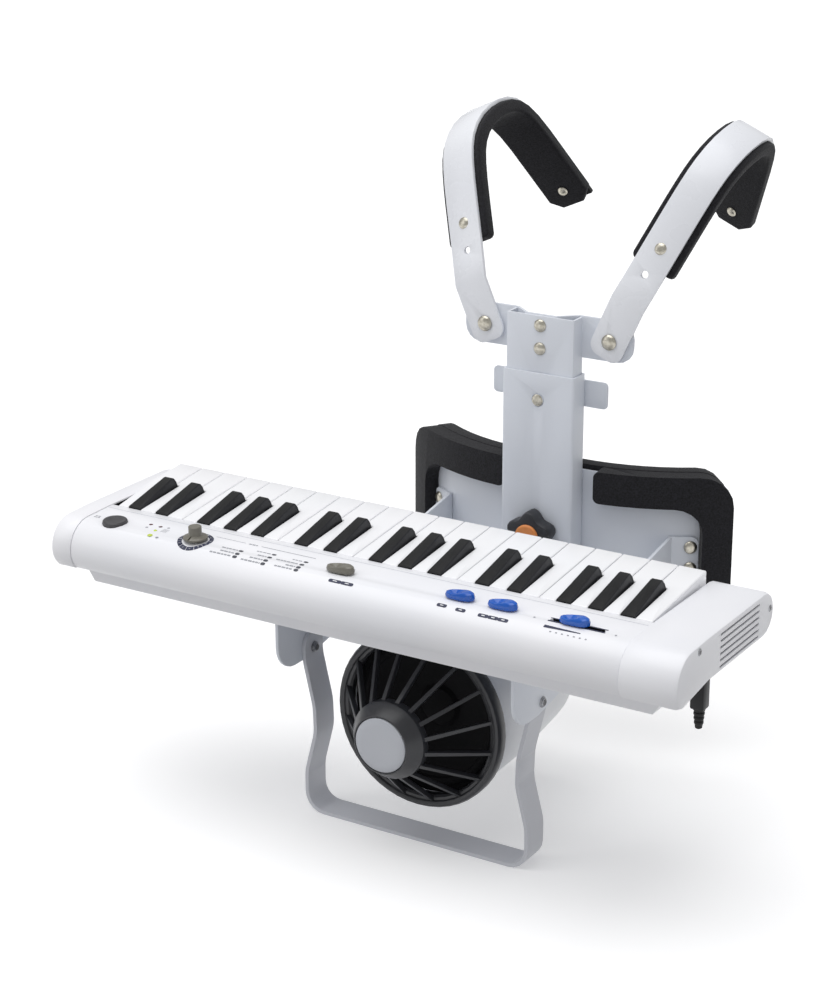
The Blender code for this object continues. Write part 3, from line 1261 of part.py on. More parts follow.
def add_column_knob():
    """Five-lobed clamp knob; its bolt reaches the post through the sleeve."""
    back = SLEEVE_FRONT_Y - 0.0010
    front = back - CLAMP_THICKNESS
    outline = []
    count = CLAMP_LOBES * 8
    for step in range(count):
        turn = 2 * math.pi * step / count
        wave = math.cos(CLAMP_LOBES * (turn - math.pi / 2))
        radius = CLAMP_RADIUS * (0.88 + 0.12 * wave)
        outline.append((radius * math.cos(turn), CLAMP_Z + radius * math.sin(turn)))
    shape = prism(outline, "Y", front, back)
    rims = [e for e in shape.edges if abs(e.verts[0].co.y - e.verts[1].co.y) < 1e-7]
    front_rims = [e for e in rims if e.verts[0].co.y < front + 1e-6]
    bevel_edges(shape, front_rims, 0.0022, 2)
    knob = make_object("column_knob", shape, DARK_PLASTIC, (0.0, front, CLAMP_Z))
    bolt = prism(circle((0.0, CLAMP_Z), CLAMP_BOLT_DIAMETER / 2, 16), "Y", back - OVERLAP, POST_FRONT_Y - GAP)
    combine(knob, bolt, "UNION", "bolt")
    cap = circle((0.0, CLAMP_Z), CLAMP_RADIUS * 0.48, 20)
    combine(knob, prism(cap, "Y", front - 0.0012, front + OVERLAP), "UNION", "cap")


def smooth_curve(points, steps):
    """A Catmull-Rom curve through the points."""
    made = []
    for index in range(len(points) - 1):
        p1, p2 = Vector(points[index]), Vector(points[index + 1])
        p0 = Vector(points[index - 1]) if index else 2 * p1 - p2
        p3 = Vector(points[index + 2]) if index + 2 < len(points) else 2 * p2 - p1
        for step in range(steps):
            t = step / steps
            made.append(
                tuple(0.5 * (2 * p1 + (p2 - p0) * t + (2 * p0 - 5 * p1 + 4 * p2 - p3) * t**2
                             + (3 * p1 - p0 - 3 * p2 + p3) * t**3))
            )
    made.append(tuple(points[-1]))
    return made


def strap_path():
    """The strap's outer face in its own plane, as (behind, up), from its foot over the shoulder."""
    return [(0.0, -STRAP_END_ROUND)] + smooth_curve(STRAP_CURVE, 2)


def place_strap(shape, side):
    """From the strap's own plane to its pivot: drawn in behind the shoulder and leaned outwards about Y."""
    for vert in shape.verts:
        vert.co.x -= side * STRAP_TOE_IN * max(0.0, vert.co.y - STRAP_SHEET)
    bmesh.ops.rotate(shape, verts=shape.verts, cent=(0, 0, 0), matrix=Matrix.Rotation(side * STRAP_LEAN, 3, "Y"))
    bmesh.ops.translate(shape, verts=shape.verts, vec=strap_origin(side))
    return shape


def strap_origin(side):
    ear_front = POST_BACK_Y - WING_SHEET
    return (side * STRAP_PIVOT_X, ear_front - GAP - STRAP_SHEET, STRAP_PIVOT_Z)


def add_strap(side, name):
    half = STRAP_WIDTH / 2
    shape = prism(strip(strap_path(), STRAP_SHEET), "X", -half, half)
    foot = [
        e for e in shape.edges
        if all(v.co.z < -STRAP_END_ROUND + 1e-6 for v in e.verts)
        and abs(e.verts[0].co.x - e.verts[1].co.x) < 1e-7
    ]
    bevel_edges(shape, foot, STRAP_FOOT_RADIUS, 5)
    strap = make_object(f"strap_{name}", place_strap(shape, side), PAINTED_STEEL, strap_origin(side))
    holes = bmesh.new()
    prism(circle((0.0, 0.0), PIN_DIAMETER / 2 + PIN_CLEARANCE, 16), "Y", -0.01, 0.01, holes)
    prism(circle((0.0, STRAP_HOLE_HEIGHT), STRAP_HOLE_DIAMETER / 2, 12), "Y", -0.01, 0.03, holes)
    combine(strap, place_strap(holes, side), "DIFFERENCE", "holes")


def strap_pad_path():
    """The foam's outer face: the strap's inner face, from above the front rivet to just past the strap's end."""
    inner = offset_path(strap_path(), -STRAP_SHEET - GAP)
    return [point for point in inner if point[1] > STRAP_PAD_START or point[0] > STRAP_PAD_RETURN]


def add_strap_pad(side, name):
    half = STRAP_PAD_WIDTH / 2
    path = strap_pad_path()
    shape = prism(strip(path, STRAP_PAD_THICKNESS), "X", -half, half)
    ends = [
        e for e in shape.edges
        if abs(e.verts[0].co.x - e.verts[1].co.x) < 1e-7 and e.calc_length() > STRAP_PAD_THICKNESS * 0.95
        and abs(e.calc_length() - STRAP_PAD_THICKNESS) < STRAP_PAD_THICKNESS * 0.05
        and min((e.verts[0].co.yz - Vector(tip)).length for tip in (path[0], path[-1])) < STRAP_PAD_THICKNESS * 1.1
    ]
    front = [e for e in ends if e.verts[0].co.y < STRAP_PAD_RETURN]
    rear = [e for e in ends if e.verts[0].co.y > STRAP_PAD_RETURN]
    bevel_edges(shape, front, STRAP_PAD_CORNER, 3)
    bevel_edges(shape, rear, STRAP_PAD_CUT, 1)
    make_object(f"strap_pad_{name}", place_strap(shape, side), BLACK_FOAM, strap_origin(side))


add_lower_case()
add_upper_panel()
add_keys()
add_controls()
add_connector_plug()
add_speaker_housing()
add_speaker_grille()
add_speaker_driver()
add_cradle_frame()
add_foot_bar()
add_belly_plate()
add_belly_pad()
add_column_sleeve()
add_column_post()
add_height_latch()
add_column_knob()
for strap_side, strap_name in ((-1, "left"), (1, "right")):
    add_strap(strap_side, strap_name)
    add_strap_pad(strap_side, strap_name)
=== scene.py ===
"""Looks for the portable keyboard on its shoulder carrier: finishes, foam, small hardware,
printed marks, studio and camera. Lengths are in metres."""

import math

import bmesh
import bpy
from mathutils import Matrix, Vector


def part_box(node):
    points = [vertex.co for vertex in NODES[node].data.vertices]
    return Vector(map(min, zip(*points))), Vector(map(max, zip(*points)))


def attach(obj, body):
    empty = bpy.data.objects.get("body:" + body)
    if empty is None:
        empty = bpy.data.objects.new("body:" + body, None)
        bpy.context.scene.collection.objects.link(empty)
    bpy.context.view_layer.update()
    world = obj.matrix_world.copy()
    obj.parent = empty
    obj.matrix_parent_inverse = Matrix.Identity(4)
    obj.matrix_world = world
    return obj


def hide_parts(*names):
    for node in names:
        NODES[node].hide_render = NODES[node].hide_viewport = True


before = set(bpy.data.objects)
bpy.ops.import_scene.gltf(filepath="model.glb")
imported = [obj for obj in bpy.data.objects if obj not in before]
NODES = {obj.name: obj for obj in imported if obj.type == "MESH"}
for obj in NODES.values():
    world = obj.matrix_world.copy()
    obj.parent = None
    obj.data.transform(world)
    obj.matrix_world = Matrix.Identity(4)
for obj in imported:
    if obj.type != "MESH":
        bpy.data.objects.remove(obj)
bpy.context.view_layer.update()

# The photograph's camera
CAMERA_PLACE = (0.7053, -1.3324, 0.5524)
CAMERA_TURN = math.radians(31.455)  # to the left of +Y
CAMERA_DIP = math.radians(19.211)
FOCAL_PIXELS = 2363.4
PHOTO_HEIGHT = 1000
SENSOR_HEIGHT = 24.0
VIEW_REACH = 100.0  # past the far side of the backdrop

# The studio: floor and backdrop, even light from all round, a soft sun and one softbox
WHITE = (1.0, 1.0, 1.0, 1.0)
FLOOR_DROP = 0.0002
FLOOR_HALF = 15.0
FLOOR_GLOW = 0.21
BACKDROP_RADIUS = 16.0
SKY_STRENGTH = 0.50
SUN_STRENGTH = 1.75
SUN_SPREAD = math.radians(60)
SUN_DIRECTION = (0.14, 0.10, -1.0)
SOFTBOX_PLACE = (-1.3, -1.2, 0.9)
SOFTBOX_TARGET = (0.0, -0.1, 0.0)
SOFTBOX_SIZE = (0.9, 1.4)
SOFTBOX_POWER = 4.0

# Sizes of the patterns on the materials, from real ones in millimetres
MM = 0.001
NOISE_RANGE = {"From Min": 0.32, "From Max": 0.68}  # where most of a noise's values lie
GLOSS_PATCH = 16 * MM
ABS_TONE_PATCH = 70 * MM
ABS_GRAIN = 0.4 * MM  # the real grain, about 0.1 mm, is too fine to show
COAT_TONE_PATCH = 110 * MM
COAT_PEEL = 2.4 * MM
NICKEL_STAIN = 1.5 * MM
NICKEL_GRAIN = 0.3 * MM  # the real grain, under 0.1 mm, is too fine to show
FOAM_MOTTLE = 1.1 * MM
FOAM_PORE = MM / 1.5  # the real cells, about 0.3 mm, are too fine to show
FOAM_DENT = 6.2 * MM
KEY_SHINE_PATCH = 11 * MM
KEY_GRAIN = 0.45 * MM  # the real grain, about 0.1 mm, is too fine to show
LENS_RIPPLE = 1.25 * MM

# How surfaces are finished
EDGE_BREAK = 0.0003
WELD_REACH = 0.000005
FOLD_ANGLE = math.radians(50)
SMOOTH_ANGLE = math.radians(32)
BELLY_FOAM_ROUND = 0.0022
STRAP_FOAM_ROUND = 0.0020

# Places and sizes that the small pieces and marks share with the part
SIDES = ((-1, "left"), (1, "right"))
CASE_RIGHT_X = 0.2043
PANEL_LEFT_X = -0.2249
PANEL_RIGHT_X = 0.1673
PANEL_CREASE_Y = -0.1980
PANEL_SLOPE = 0.0006 / 0.0200
PANEL_STEP = 0.0005
CHEEK_TOP_Z = 0.0418
NOSE_Y = -0.2180
NOSE_Z = 0.0222
NOSE_DEPTH = 0.0195 - PANEL_STEP
NOSE_RISE = 0.0190 - PANEL_STEP
CONTROL_ROW_Y = -0.2172
VOICE_X = -0.1394
MODE_X = -0.0307
OCTAVE_X = 0.0532
TONE_X = 0.0820
VOLUME_SLOT_X = 0.1312
VOLUME_SLOT_LENGTH = 0.0370
VOLUME_SLOT_WIDTH = 0.0028
# The painted shade's width along the volume slot's edges, and its depth in the slot
VOLUME_SLOT_EDGE = 0.0011
VOLUME_SLOT_SHADE_DEPTH = 0.0020
VENT_SLOTS = 6
VENT_FRONT_Y = -0.1815
VENT_LENGTH = 0.0545
VENT_TOP_Z = 0.0386
VENT_PITCH = 0.0040
VENT_WIDTH = 0.0015
VENT_DEPTH = 0.0016
SPEAKER_Z = -0.0650
HUB_FRONT_Y = -0.2220
STRAP_PIVOT = (0.0459, -0.0179, 0.1487)
STRAP_LEAN = math.radians(24.0)
STRAP_TOE_IN = 0.055
STRAP_SHEET = 0.0023
BELLY_FLAT = 0.0200
BELLY_RADIUS = 0.1400
BELLY_PLATE_Y = -0.0110
SHEET = 0.0020
GAP = 0.0003
FOOT_PIVOT_Y = -0.1730
FOOT_PIVOT_Z = -0.0345
ARM_OUTER_X = 0.0856
PIN_TIP_X = 0.0800
CLAMP_Z = 0.0140
LATCH_PIN_Z = 0.1055

# Rivets: (radius, height). On a strap: (behind, along), facing (behind, along), radius, height
STRAP_RIVETS = (
    ((0.0171, 0.0665), (-0.926, 0.377), 0.0042, 0.0021),
    ((0.1418, 0.0635), (-0.884, -0.467), 0.0035, 0.0016),
    ((0.0276, 0.0622), (0.926, -0.377), 0.0035, 0.0016),
    ((0.1518, 0.0688), (0.884, 0.467), 0.0038, 0.0018),
)
PIVOT_RIVET = (0.0052, 0.0026)
POST_RIVET_Z = (0.1554, 0.1399)
POST_RIVET = (0.0043, 0.0022)
POST_RIVET_TAIL = (0.0036, 0.0014)
FLANGE_RIVET_ALONG = 0.0995
FLANGE_RIVET_Z = (0.0098, -0.0050)
FLANGE_RIVET = (0.0044, 0.0021)
LATCH_PIN_END = (0.0040, 0.0010)

# Turned pieces: rings of (radius, height) from the seat outwards
BASE_FOOT_RINGS = ((0.0060, -0.0003), (0.0060, 0.0004), (0.0054, 0.0011), (0.0030, 0.0013))
BASE_SCREW_RINGS = ((0.0026, -0.0002), (0.0026, 0.0001), (0.0021, 0.0004))
END_SCREW_RINGS = ((0.0022, 0.0), (0.0022, 0.0003), (0.0018, 0.0006))
FOOT_SCREW_RINGS = (
    (0.0036, -0.0006),
    (0.0036, 0.0004),
    (0.0030, 0.0007),
    (0.0029, 0.0013),
    (0.0024, 0.0016),
)
FOOT_SOCKET_RINGS = ((0.0023, 0.0014), (0.0022, 0.00168))
HUB_DISC_RINGS = (
    (0.0178, 0.0),
    (0.0178, 0.0008),
    (0.0172, 0.0013),
    (0.0130, 0.0016),
    (0.0050, 0.0017),
)
HUB_DISC_SINK = 0.0009
CLAMP_CAP_RINGS = (
    (0.0084, -0.0012),
    (0.0084, 0.0),
    (0.0080, 0.0005),
    (0.0072, 0.0008),
    (0.0060, 0.0006),
    (0.00252, 0.0005),
)

# Other small pieces
CROSS_SLOT_WIDTH = 0.0006
STRAP_CAP_ALONG = 0.0665  # the cap's upper limit along the strap
STRAP_CAP_BEHIND = 0.1000  # keeps the strap's front half out of it
STRAP_CAP_WALL = 0.0004
END_SCREWS = ((-0.2100, 0.0375), (-0.1112, 0.0304))
BASE_FEET = ((-0.2050, -0.1300), (0.1700, -0.1300), (-0.2080, -0.1970), (0.1680, -0.1970))
BELOW_CASE_Z = -0.2000
BASE_SCREWS = (
    (-0.1600, -0.1200),
    (-0.1000, -0.1200),
    (0.1200, -0.1200),
    (-0.2250, -0.1500),
    (0.1900, -0.1500),
)
BATTERY_DOOR = (-0.1900, -0.1050, -0.2080, -0.1860)  # lowest and highest x, then y
BATTERY_DOOR_SEAM = 0.0005
# Painted shade on the high cheek's inner wall: its size, start and top
CHEEK_SHADE_SIZE = (0.0500, 0.0150, 0.0003)  # width, height, thickness
CHEEK_SHADE_START_Y = -0.1914
CHEEK_SHADE_TOP_Z = 0.0408

# Printed marks
MARK_LIFT = 0.00006
MARK_THICKNESS = 0.00006
LIST_COLUMNS = (  # x, y of the rows, their lengths
    (-0.1035, (-0.2185, -0.2225, -0.2255), (0.0120, 0.0105, 0.0165)),
    (-0.0820, (-0.2136, -0.2185, -0.2228, -0.2260), (0.0105, 0.0065, 0.0095, 0.0140)),
    (-0.0580, (-0.2141, -0.2186, -0.2224, -0.2252), (0.0075, 0.0165, 0.0070, 0.0135)),
)
LIST_OVAL = (0.0032, 0.0021, 0.0010)  # width, height, radius
LIST_OVAL_GAP = 0.0024
HEADING_Y = -0.2063
HEADING_RULES = (  # x, width, height, radius
    (-0.11975, 0.0225, 0.0003, 0.0001),
    (-0.07625, 0.0405, 0.0005, 0.0002),
)
DASH_SHORTEST = 0.0016
DASH_SPREAD = 0.0012
DASH_GAP = 0.0005
DASH_LEAST = 0.0006
TAG_HEIGHT = 0.0022
TAG_OVERLAP = 0.00002  # lifts every second tag over its neighbours' ends
TAGS = (  # x, y, width
    (-0.0286, -0.2268, 0.0088),
    (-0.0200, -0.2268, 0.0088),
    (0.0463, -0.2268, 0.0066),
    (0.0592, -0.2272, 0.0066),
    (0.0746, -0.2275, 0.0068),
    (0.0812, -0.2275, 0.0068),
    (0.0878, -0.2275, 0.0068),
)
VOLUME_WEDGE = ((0.1134, -0.2240), (0.1134, -0.2260), (0.1368, -0.2252), (0.1368, -0.2246))
VOLUME_TICKS = (7, 0.1190, 0.0038, -0.2279)  # how many, first x, pitch, y
VOLUME_ENDS = ((0.1040, -0.2192), (0.1565, -0.2193))
SWITCH_DOTS_Y = -0.2098
SWITCH_DOT_PITCH = 0.0052
KNOB_RING = (0.0087, 0.0115)  # inner and outer radius
KNOB_NUMBERS = 12
RING_START, RING_PITCH, RING_CELL = 225, 30, 28  # degrees
RING_STEPS = 6
KNOB_NUMBER_SIZE = 0.0024
LAMPS = {  # x, y, radius
    "brown_ink": ((-0.1804, -0.2094, 0.0013), (-0.1725, -0.2097, 0.0013)),
    "mark_grey": (
        (-0.1667, -0.2090, 0.0010),
        (-0.1647, -0.2238, 0.0011),
        (-0.1798, -0.2146, 0.0010),
    ),
    "led": ((-0.1705, -0.2234, 0.0017), (-0.1714, -0.2167, 0.0011)),
}


def colour(hex_code):
    """Linear RGBA from an sRGB hex code."""
    parts = [int(hex_code[i : i + 2], 16) / 255 for i in (1, 3, 5)]
    linear = [c / 12.92 if c <= 0.04045 else ((c + 0.055) / 1.055) ** 2.4 for c in parts]
    return (*linear, 1.0)


def add_node(tree, kind, inputs=(), **settings):
    """Adds a node with its settings; an input is a plain value or another node's output."""
    made = tree.nodes.new(kind)
    for name, value in settings.items():
        setattr(made, name, value)
    for name, value in dict(inputs).items():
        if isinstance(value, bpy.types.NodeSocket):
            tree.links.new(value, made.inputs[name])
        else:
            made.inputs[name].default_value = value
    return made


def start_material(name, base, **constants):
    """A material with its plain colour and constants, its tree, shader and object coordinates."""
    made = bpy.data.materials.new(name)
    made.use_nodes = True
    tree = made.node_tree
    shader = tree.nodes["Principled BSDF"]
    shader.inputs["Base Color"].default_value = colour(base)
    for socket, value in constants.items():
        shader.inputs[socket.replace("_", " ")].default_value = value
    place = add_node(tree, "ShaderNodeTexCoord").outputs["Object"]
    return made, tree, shader, place


def surface(name, light, dark, roughness, patch, grain_size, grain, unevenness=0.02, **constants):
    """Two close colours in broad patches, slightly uneven gloss and a fine raised grain."""
    made, tree, shader, place = start_material(name, light, Roughness=roughness, **constants)
    broad = {"Vector": place, "Scale": 1.0 / patch, "Detail": 2.0}
    broad = add_node(tree, "ShaderNodeTexNoise", broad).outputs["Fac"]
    share = add_node(tree, "ShaderNodeMapRange", {**NOISE_RANGE, "Value": broad}).outputs["Result"]
    tones = {"Factor": share, "A": colour(light), "B": colour(dark)}
    tone = add_node(tree, "ShaderNodeMix", tones, data_type="RGBA").outputs["Result"]
    tree.links.new(tone, shader.inputs["Base Color"])
    worn = {"Vector": place, "Scale": 1.0 / GLOSS_PATCH, "Detail": 3.0}
    worn = add_node(tree, "ShaderNodeTexNoise", worn).outputs["Fac"]
    limits = {"To Min": roughness - unevenness, "To Max": roughness + unevenness}
    gloss = add_node(tree, "ShaderNodeMapRange", {**NOISE_RANGE, **limits, "Value": worn})
    tree.links.new(gloss.outputs["Result"], shader.inputs["Roughness"])
    fine = {"Vector": place, "Scale": 1.0 / grain_size, "Detail": 2.0}
    fine = add_node(tree, "ShaderNodeTexNoise", fine).outputs["Fac"]
    raised = {"Height": fine, "Strength": grain, "Distance": grain_size * 0.2}
    raised = add_node(tree, "ShaderNodeBump", raised).outputs["Normal"]
    tree.links.new(raised, shader.inputs["Normal"])
    return made


def abs_plastic(name, light, dark, roughness, grain, specular=0.5):
    """ABS from a spark-eroded mould: a faint matt grain over a soft, even gloss."""
    return surface(
        name,
        light,
        dark,
        roughness,
        ABS_TONE_PATCH,
        ABS_GRAIN,
        grain,
        Specular_IOR_Level=specular,
    )


def powder_coat(name, light, dark, roughness):
    """Powder-coated sheet steel: a soft gloss that an orange peel breaks up."""
    return surface(
        name,
        light,
        dark,
        roughness,
        COAT_TONE_PATCH,
        COAT_PEEL,
        0.10,
        unevenness=0.03,
        Specular_IOR_Level=0.45,
    )


def nickel(name, light, dark):
    """Plated steel: a dull, slightly stained mirror."""
    return surface(name, light, dark, 0.32, NICKEL_STAIN, NICKEL_GRAIN, 0.04, Metallic=1.0)


def eva_foam():
    """Closed-cell EVA foam cut from sheet: near black and matt, with cut cells and soft dents."""
    made, tree, shader, place = start_material(
        "eva_foam",
        "#1A1A1D",
        Roughness=0.93,
        Specular_IOR_Level=0.25,
        Sheen_Weight=0.12,
        Sheen_Roughness=0.5,
    )
    mottle = {"Vector": place, "Scale": 1.0 / FOAM_MOTTLE, "Detail": 3.0}
    mottle = add_node(tree, "ShaderNodeTexNoise", mottle).outputs["Fac"]
    share = add_node(tree, "ShaderNodeMapRange", {**NOISE_RANGE, "Value": mottle}).outputs["Result"]
    tones = {"Factor": share, "A": colour("#161618"), "B": colour("#28282D")}
    tone = add_node(tree, "ShaderNodeMix", tones, data_type="RGBA").outputs["Result"]
    tree.links.new(tone, shader.inputs["Base Color"])
    pores = {"Vector": place, "Scale": 1.0 / FOAM_PORE}
    pores = add_node(tree, "ShaderNodeTexVoronoi", pores).outputs["Distance"]
    pitted = {"Height": pores, "Strength": 0.55, "Distance": 0.0004}
    pitted = add_node(tree, "ShaderNodeBump", pitted).outputs["Normal"]
    dents = {"Vector": place, "Scale": 1.0 / FOAM_DENT, "Detail": 3.0}
    dents = add_node(tree, "ShaderNodeTexNoise", dents).outputs["Fac"]
    dented = {"Height": dents, "Strength": 0.25, "Distance": 0.0008, "Normal": pitted}
    dented = add_node(tree, "ShaderNodeBump", dented).outputs["Normal"]
    tree.links.new(dented, shader.inputs["Normal"])
    return made


def black_key_plastic():
    """Matt black polystyrene: a dark top with an uneven shine, and a painted highlight that makes
    the sloping flanks greyer.
    """
    made, tree, shader, place = start_material(
        "black_key_plastic", "#0C0D0F", Roughness=0.40, Specular_IOR_Level=0.28
    )
    # Painted highlight: faces that turn to the side get the lighter grey
    normal = add_node(tree, "ShaderNodeTexCoord").outputs["Normal"]
    across = add_node(tree, "ShaderNodeSeparateXYZ", {"Vector": normal}).outputs["X"]
    side = add_node(tree, "ShaderNodeMath", {0: across}, operation="ABSOLUTE").outputs[0]
    share = {"Value": side, "From Min": 0.15, "From Max": 0.75}
    share = add_node(tree, "ShaderNodeMapRange", share).outputs["Result"]
    tones = {"Factor": share, "A": colour("#0A0B0D"), "B": colour("#26272B")}
    tone = add_node(tree, "ShaderNodeMix", tones, data_type="RGBA").outputs["Result"]
    tree.links.new(tone, shader.inputs["Base Color"])
    worn = {"Vector": place, "Scale": 1.0 / KEY_SHINE_PATCH, "Detail": 3.0}
    worn = add_node(tree, "ShaderNodeTexNoise", worn).outputs["Fac"]
    gloss = {**NOISE_RANGE, "Value": worn, "To Min": 0.34, "To Max": 0.46}
    gloss = add_node(tree, "ShaderNodeMapRange", gloss).outputs["Result"]
    tree.links.new(gloss, shader.inputs["Roughness"])
    fine = {"Vector": place, "Scale": 1.0 / KEY_GRAIN, "Detail": 2.0}
    fine = add_node(tree, "ShaderNodeTexNoise", fine).outputs["Fac"]
    raised = {"Height": fine, "Strength": 0.10, "Distance": 0.00006}
    raised = add_node(tree, "ShaderNodeBump", raised).outputs["Normal"]
    tree.links.new(raised, shader.inputs["Normal"])
    return made


def lamp_lens():
    """Clear tinted acrylic over a lamp that is on: a weak yellow-green glow and a high gloss."""
    made, tree, shader, place = start_material(
        "lamp_lens", "#B9C93F", Roughness=0.20, Coat_Weight=0.4, Emission_Strength=0.15
    )
    shader.inputs["Emission Color"].default_value = colour("#C7D84A")
    ripple = {"Vector": place, "Scale": 1.0 / LENS_RIPPLE, "Detail": 2.0}
    ripple = add_node(tree, "ShaderNodeTexNoise", ripple).outputs["Fac"]
    gloss = {**NOISE_RANGE, "Value": ripple, "To Min": 0.15, "To Max": 0.28}
    gloss = add_node(tree, "ShaderNodeMapRange", gloss).outputs["Result"]
    tree.links.new(gloss, shader.inputs["Roughness"])
    return made


def make_materials():
    """Every finish, by the pieces or the print that it is for."""
    return {
        # ABS of the case and keys: a cool, nearly pure white, glossier on the keys
        "case": abs_plastic("white_abs_case", "#F1F1F5", "#ECEDF2", 0.34, 0.05),
        "key": abs_plastic("white_key_plastic", "#F6F6F9", "#F3F4F7", 0.22, 0.02),
        "black_key": black_key_plastic(),
        # Black ABS and a black coated paper cone: the grille catches light, the cone doesn't; these
        # blacks and the plug's also paint shade in holes, slots and on the cheek wall
        "dark": abs_plastic("black_abs_grille_and_painted_hole_shade", "#303135", "#292A2E", 0.32, 0.10),
        "driver": abs_plastic("paper_cone_and_painted_cheek_shade", "#101012", "#0C0C0E", 0.80, 0.10, specular=0.15),
        "plug": abs_plastic("black_plastic_and_painted_slot_shade", "#111113", "#0D0D0F", 0.40, 0.10, specular=0.30),
        # Coloured ABS and acrylic of the controls: only the blue acrylic is truly shiny
        "grey": abs_plastic("warm_grey_abs", "#78756C", "#6E6B62", 0.30, 0.10),
        "blue": abs_plastic("blue_acrylic_knob", "#1F62C6", "#1956B6", 0.12, 0.03),
        "orange": abs_plastic("orange_abs_cap", "#E39456", "#DA8849", 0.36, 0.08),
        "power": abs_plastic("dark_grey_abs_button", "#434245", "#3B3A3D", 0.42, 0.10),
        # Powder coat on the carrier: pale blue-grey, whiter on the straps, darker on the foot
        "steel": powder_coat("powder_coated_steel", "#E0E4EC", "#DADFE8", 0.32),
        "strap": powder_coat("white_strap_coat", "#EDEFF4", "#E8EAF0", 0.28),
        "foot": powder_coat("grey_powder_coat", "#C9CBD2", "#C1C3CA", 0.34),
        # ABS of the speaker's housing, its hub disc and the clamp knob: greyer than the case
        "housing": abs_plastic("white_abs_housing", "#E6E8EC", "#DFE1E6", 0.30, 0.05),
        "hub": abs_plastic("pale_grey_abs_disc", "#BFC2C9", "#B6B9C1", 0.34, 0.05),
        "knob": abs_plastic("black_knob_plastic", "#343539", "#2B2C30", 0.40, 0.15),
        "foam": eva_foam(),
        # Nickel on the rivets is warm and pale, zinc on the screws cool and darker
        "rivet": nickel("nickel_rivet", "#C8C4B8", "#AFAA9C"),
        "screw": nickel("zinc_screw", "#A6A7AA", "#7E7F83"),
        # Painted shade behind the vents, also the grey of the battery door's seam: mid grey and
        # dull
        "vent": abs_plastic("painted_vent_shade_and_door_seam", "#4C4D52", "#45464B", 0.70, 0.02),
        # Pad-printing inks and small lenses on the panel: flat colours, duller than the plastic
        "ink": abs_plastic("dark_panel_ink", "#4A4C55", "#42444C", 0.55, 0.02),
        "pale_ink": abs_plastic("white_panel_ink", "#F0F1F4", "#E9EAEE", 0.50, 0.02),
        "mark_grey": abs_plastic("grey_panel_ink", "#A2A4AB", "#989AA1", 0.50, 0.02),
        # The navy ink also paints the shade along the volume slot's edges
        "navy_ink": abs_plastic("navy_ink_and_painted_slot_shade", "#262B4A", "#222744", 0.45, 0.02),
        "brown_ink": abs_plastic("brown_lens", "#5A2A2E", "#4F2428", 0.40, 0.02),
        # Painted shade along the step across the panel
        "crease_shade": abs_plastic("seam_shade", "#C6C8D0", "#BFC1CA", 0.70, 0.02),
        "led": lamp_lens(),
    }


def soft_shading():
    """A modifier's node group that joins split corners and shades smooth up to a sharp angle."""
    group = bpy.data.node_groups.new("smooth_by_angle", "GeometryNodeTree")
    group.interface.new_socket("Geometry", in_out="INPUT", socket_type="NodeSocketGeometry")
    group.interface.new_socket("Geometry", in_out="OUTPUT", socket_type="NodeSocketGeometry")
    angle = add_node(group, "GeometryNodeInputMeshEdgeAngle").outputs["Unsigned Angle"]
    limits = {"A": angle, "B": SMOOTH_ANGLE}
    bent = add_node(
        group, "FunctionNodeCompare", limits, data_type="FLOAT", operation="GREATER_THAN"
    )
    sharp = {"Selection": bent.outputs["Result"], "Shade Smooth": False}
    chain = (
        add_node(group, "NodeGroupInput"),
        add_node(group, "GeometryNodeRemoveAttribute", {"Name": "custom_normal"}),
        add_node(group, "GeometryNodeMergeByDistance", {"Distance": WELD_REACH}),
        add_node(group, "GeometryNodeSetShadeSmooth"),
        add_node(group, "GeometryNodeSetShadeSmooth", sharp, domain="EDGE"),
        add_node(group, "NodeGroupOutput"),
    )
    for before, after in zip(chain, chain[1:]):
        group.links.new(before.outputs["Geometry"], after.inputs["Geometry"])
    return group


SHADING = soft_shading()


def dress(material, *names):
    """Gives CAD nodes their finish, small broken edges and smooth shading, all by modifiers."""
    for name in names:
        node = NODES[name]
        node.data.materials.clear()
        node.data.materials.append(material)
        node.modifiers.new("weld", "WELD").merge_threshold = WELD_REACH
        broken = node.modifiers.new("broken_edges", "BEVEL")
        broken.width = EDGE_BREAK
        broken.segments = 2
        broken.limit_method = "ANGLE"
        broken.angle_limit = FOLD_ANGLE
        node.modifiers.new("shading", "NODES").node_group = SHADING


def dress_nodes(finishes):
    dress(finishes["case"], "lower_case", "upper_panel")
    dress(finishes["housing"], "speaker_housing")
    dress(finishes["dark"], "speaker_grille")
    dress(finishes["driver"], "speaker_driver")
    dress(finishes["plug"], "connector_plug")
    dress(finishes["power"], "power_button")
    dress(finishes["grey"], "voice_knob", "mode_switch")
    dress(finishes["blue"], "octave_switch", "tone_switch", "volume_slider")
    dress(finishes["steel"], "cradle_frame", "belly_plate")
    dress(finishes["steel"], "column_sleeve", "column_post", "height_latch")
    dress(finishes["strap"], "strap_left", "strap_right")
    dress(finishes["foot"], "foot_bar")
    dress(finishes["knob"], "column_knob")
    for name in NODES:
        if name.startswith("white_key"):
            dress(finishes["key"], name)
        elif name.startswith("black_key"):
            dress(finishes["black_key"], name)


def add_piece(name, shape, material, body, smooth_degrees=40):
    mesh = bpy.data.meshes.new(name)
    bmesh.ops.recalc_face_normals(shape, faces=shape.faces)
    shape.to_mesh(mesh)
    shape.free()
    piece = bpy.data.objects.new(name, mesh)
    bpy.context.scene.collection.objects.link(piece)
    mesh.materials.append(material)
    mesh.shade_smooth()
    mesh.set_sharp_from_angle(angle=math.radians(smooth_degrees))
    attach(piece, body)
    return piece


def disc_points(radius, segments):
    turns = [2 * math.pi * step / segments for step in range(segments)]
    return [(radius * math.cos(t), radius * math.sin(t)) for t in turns]


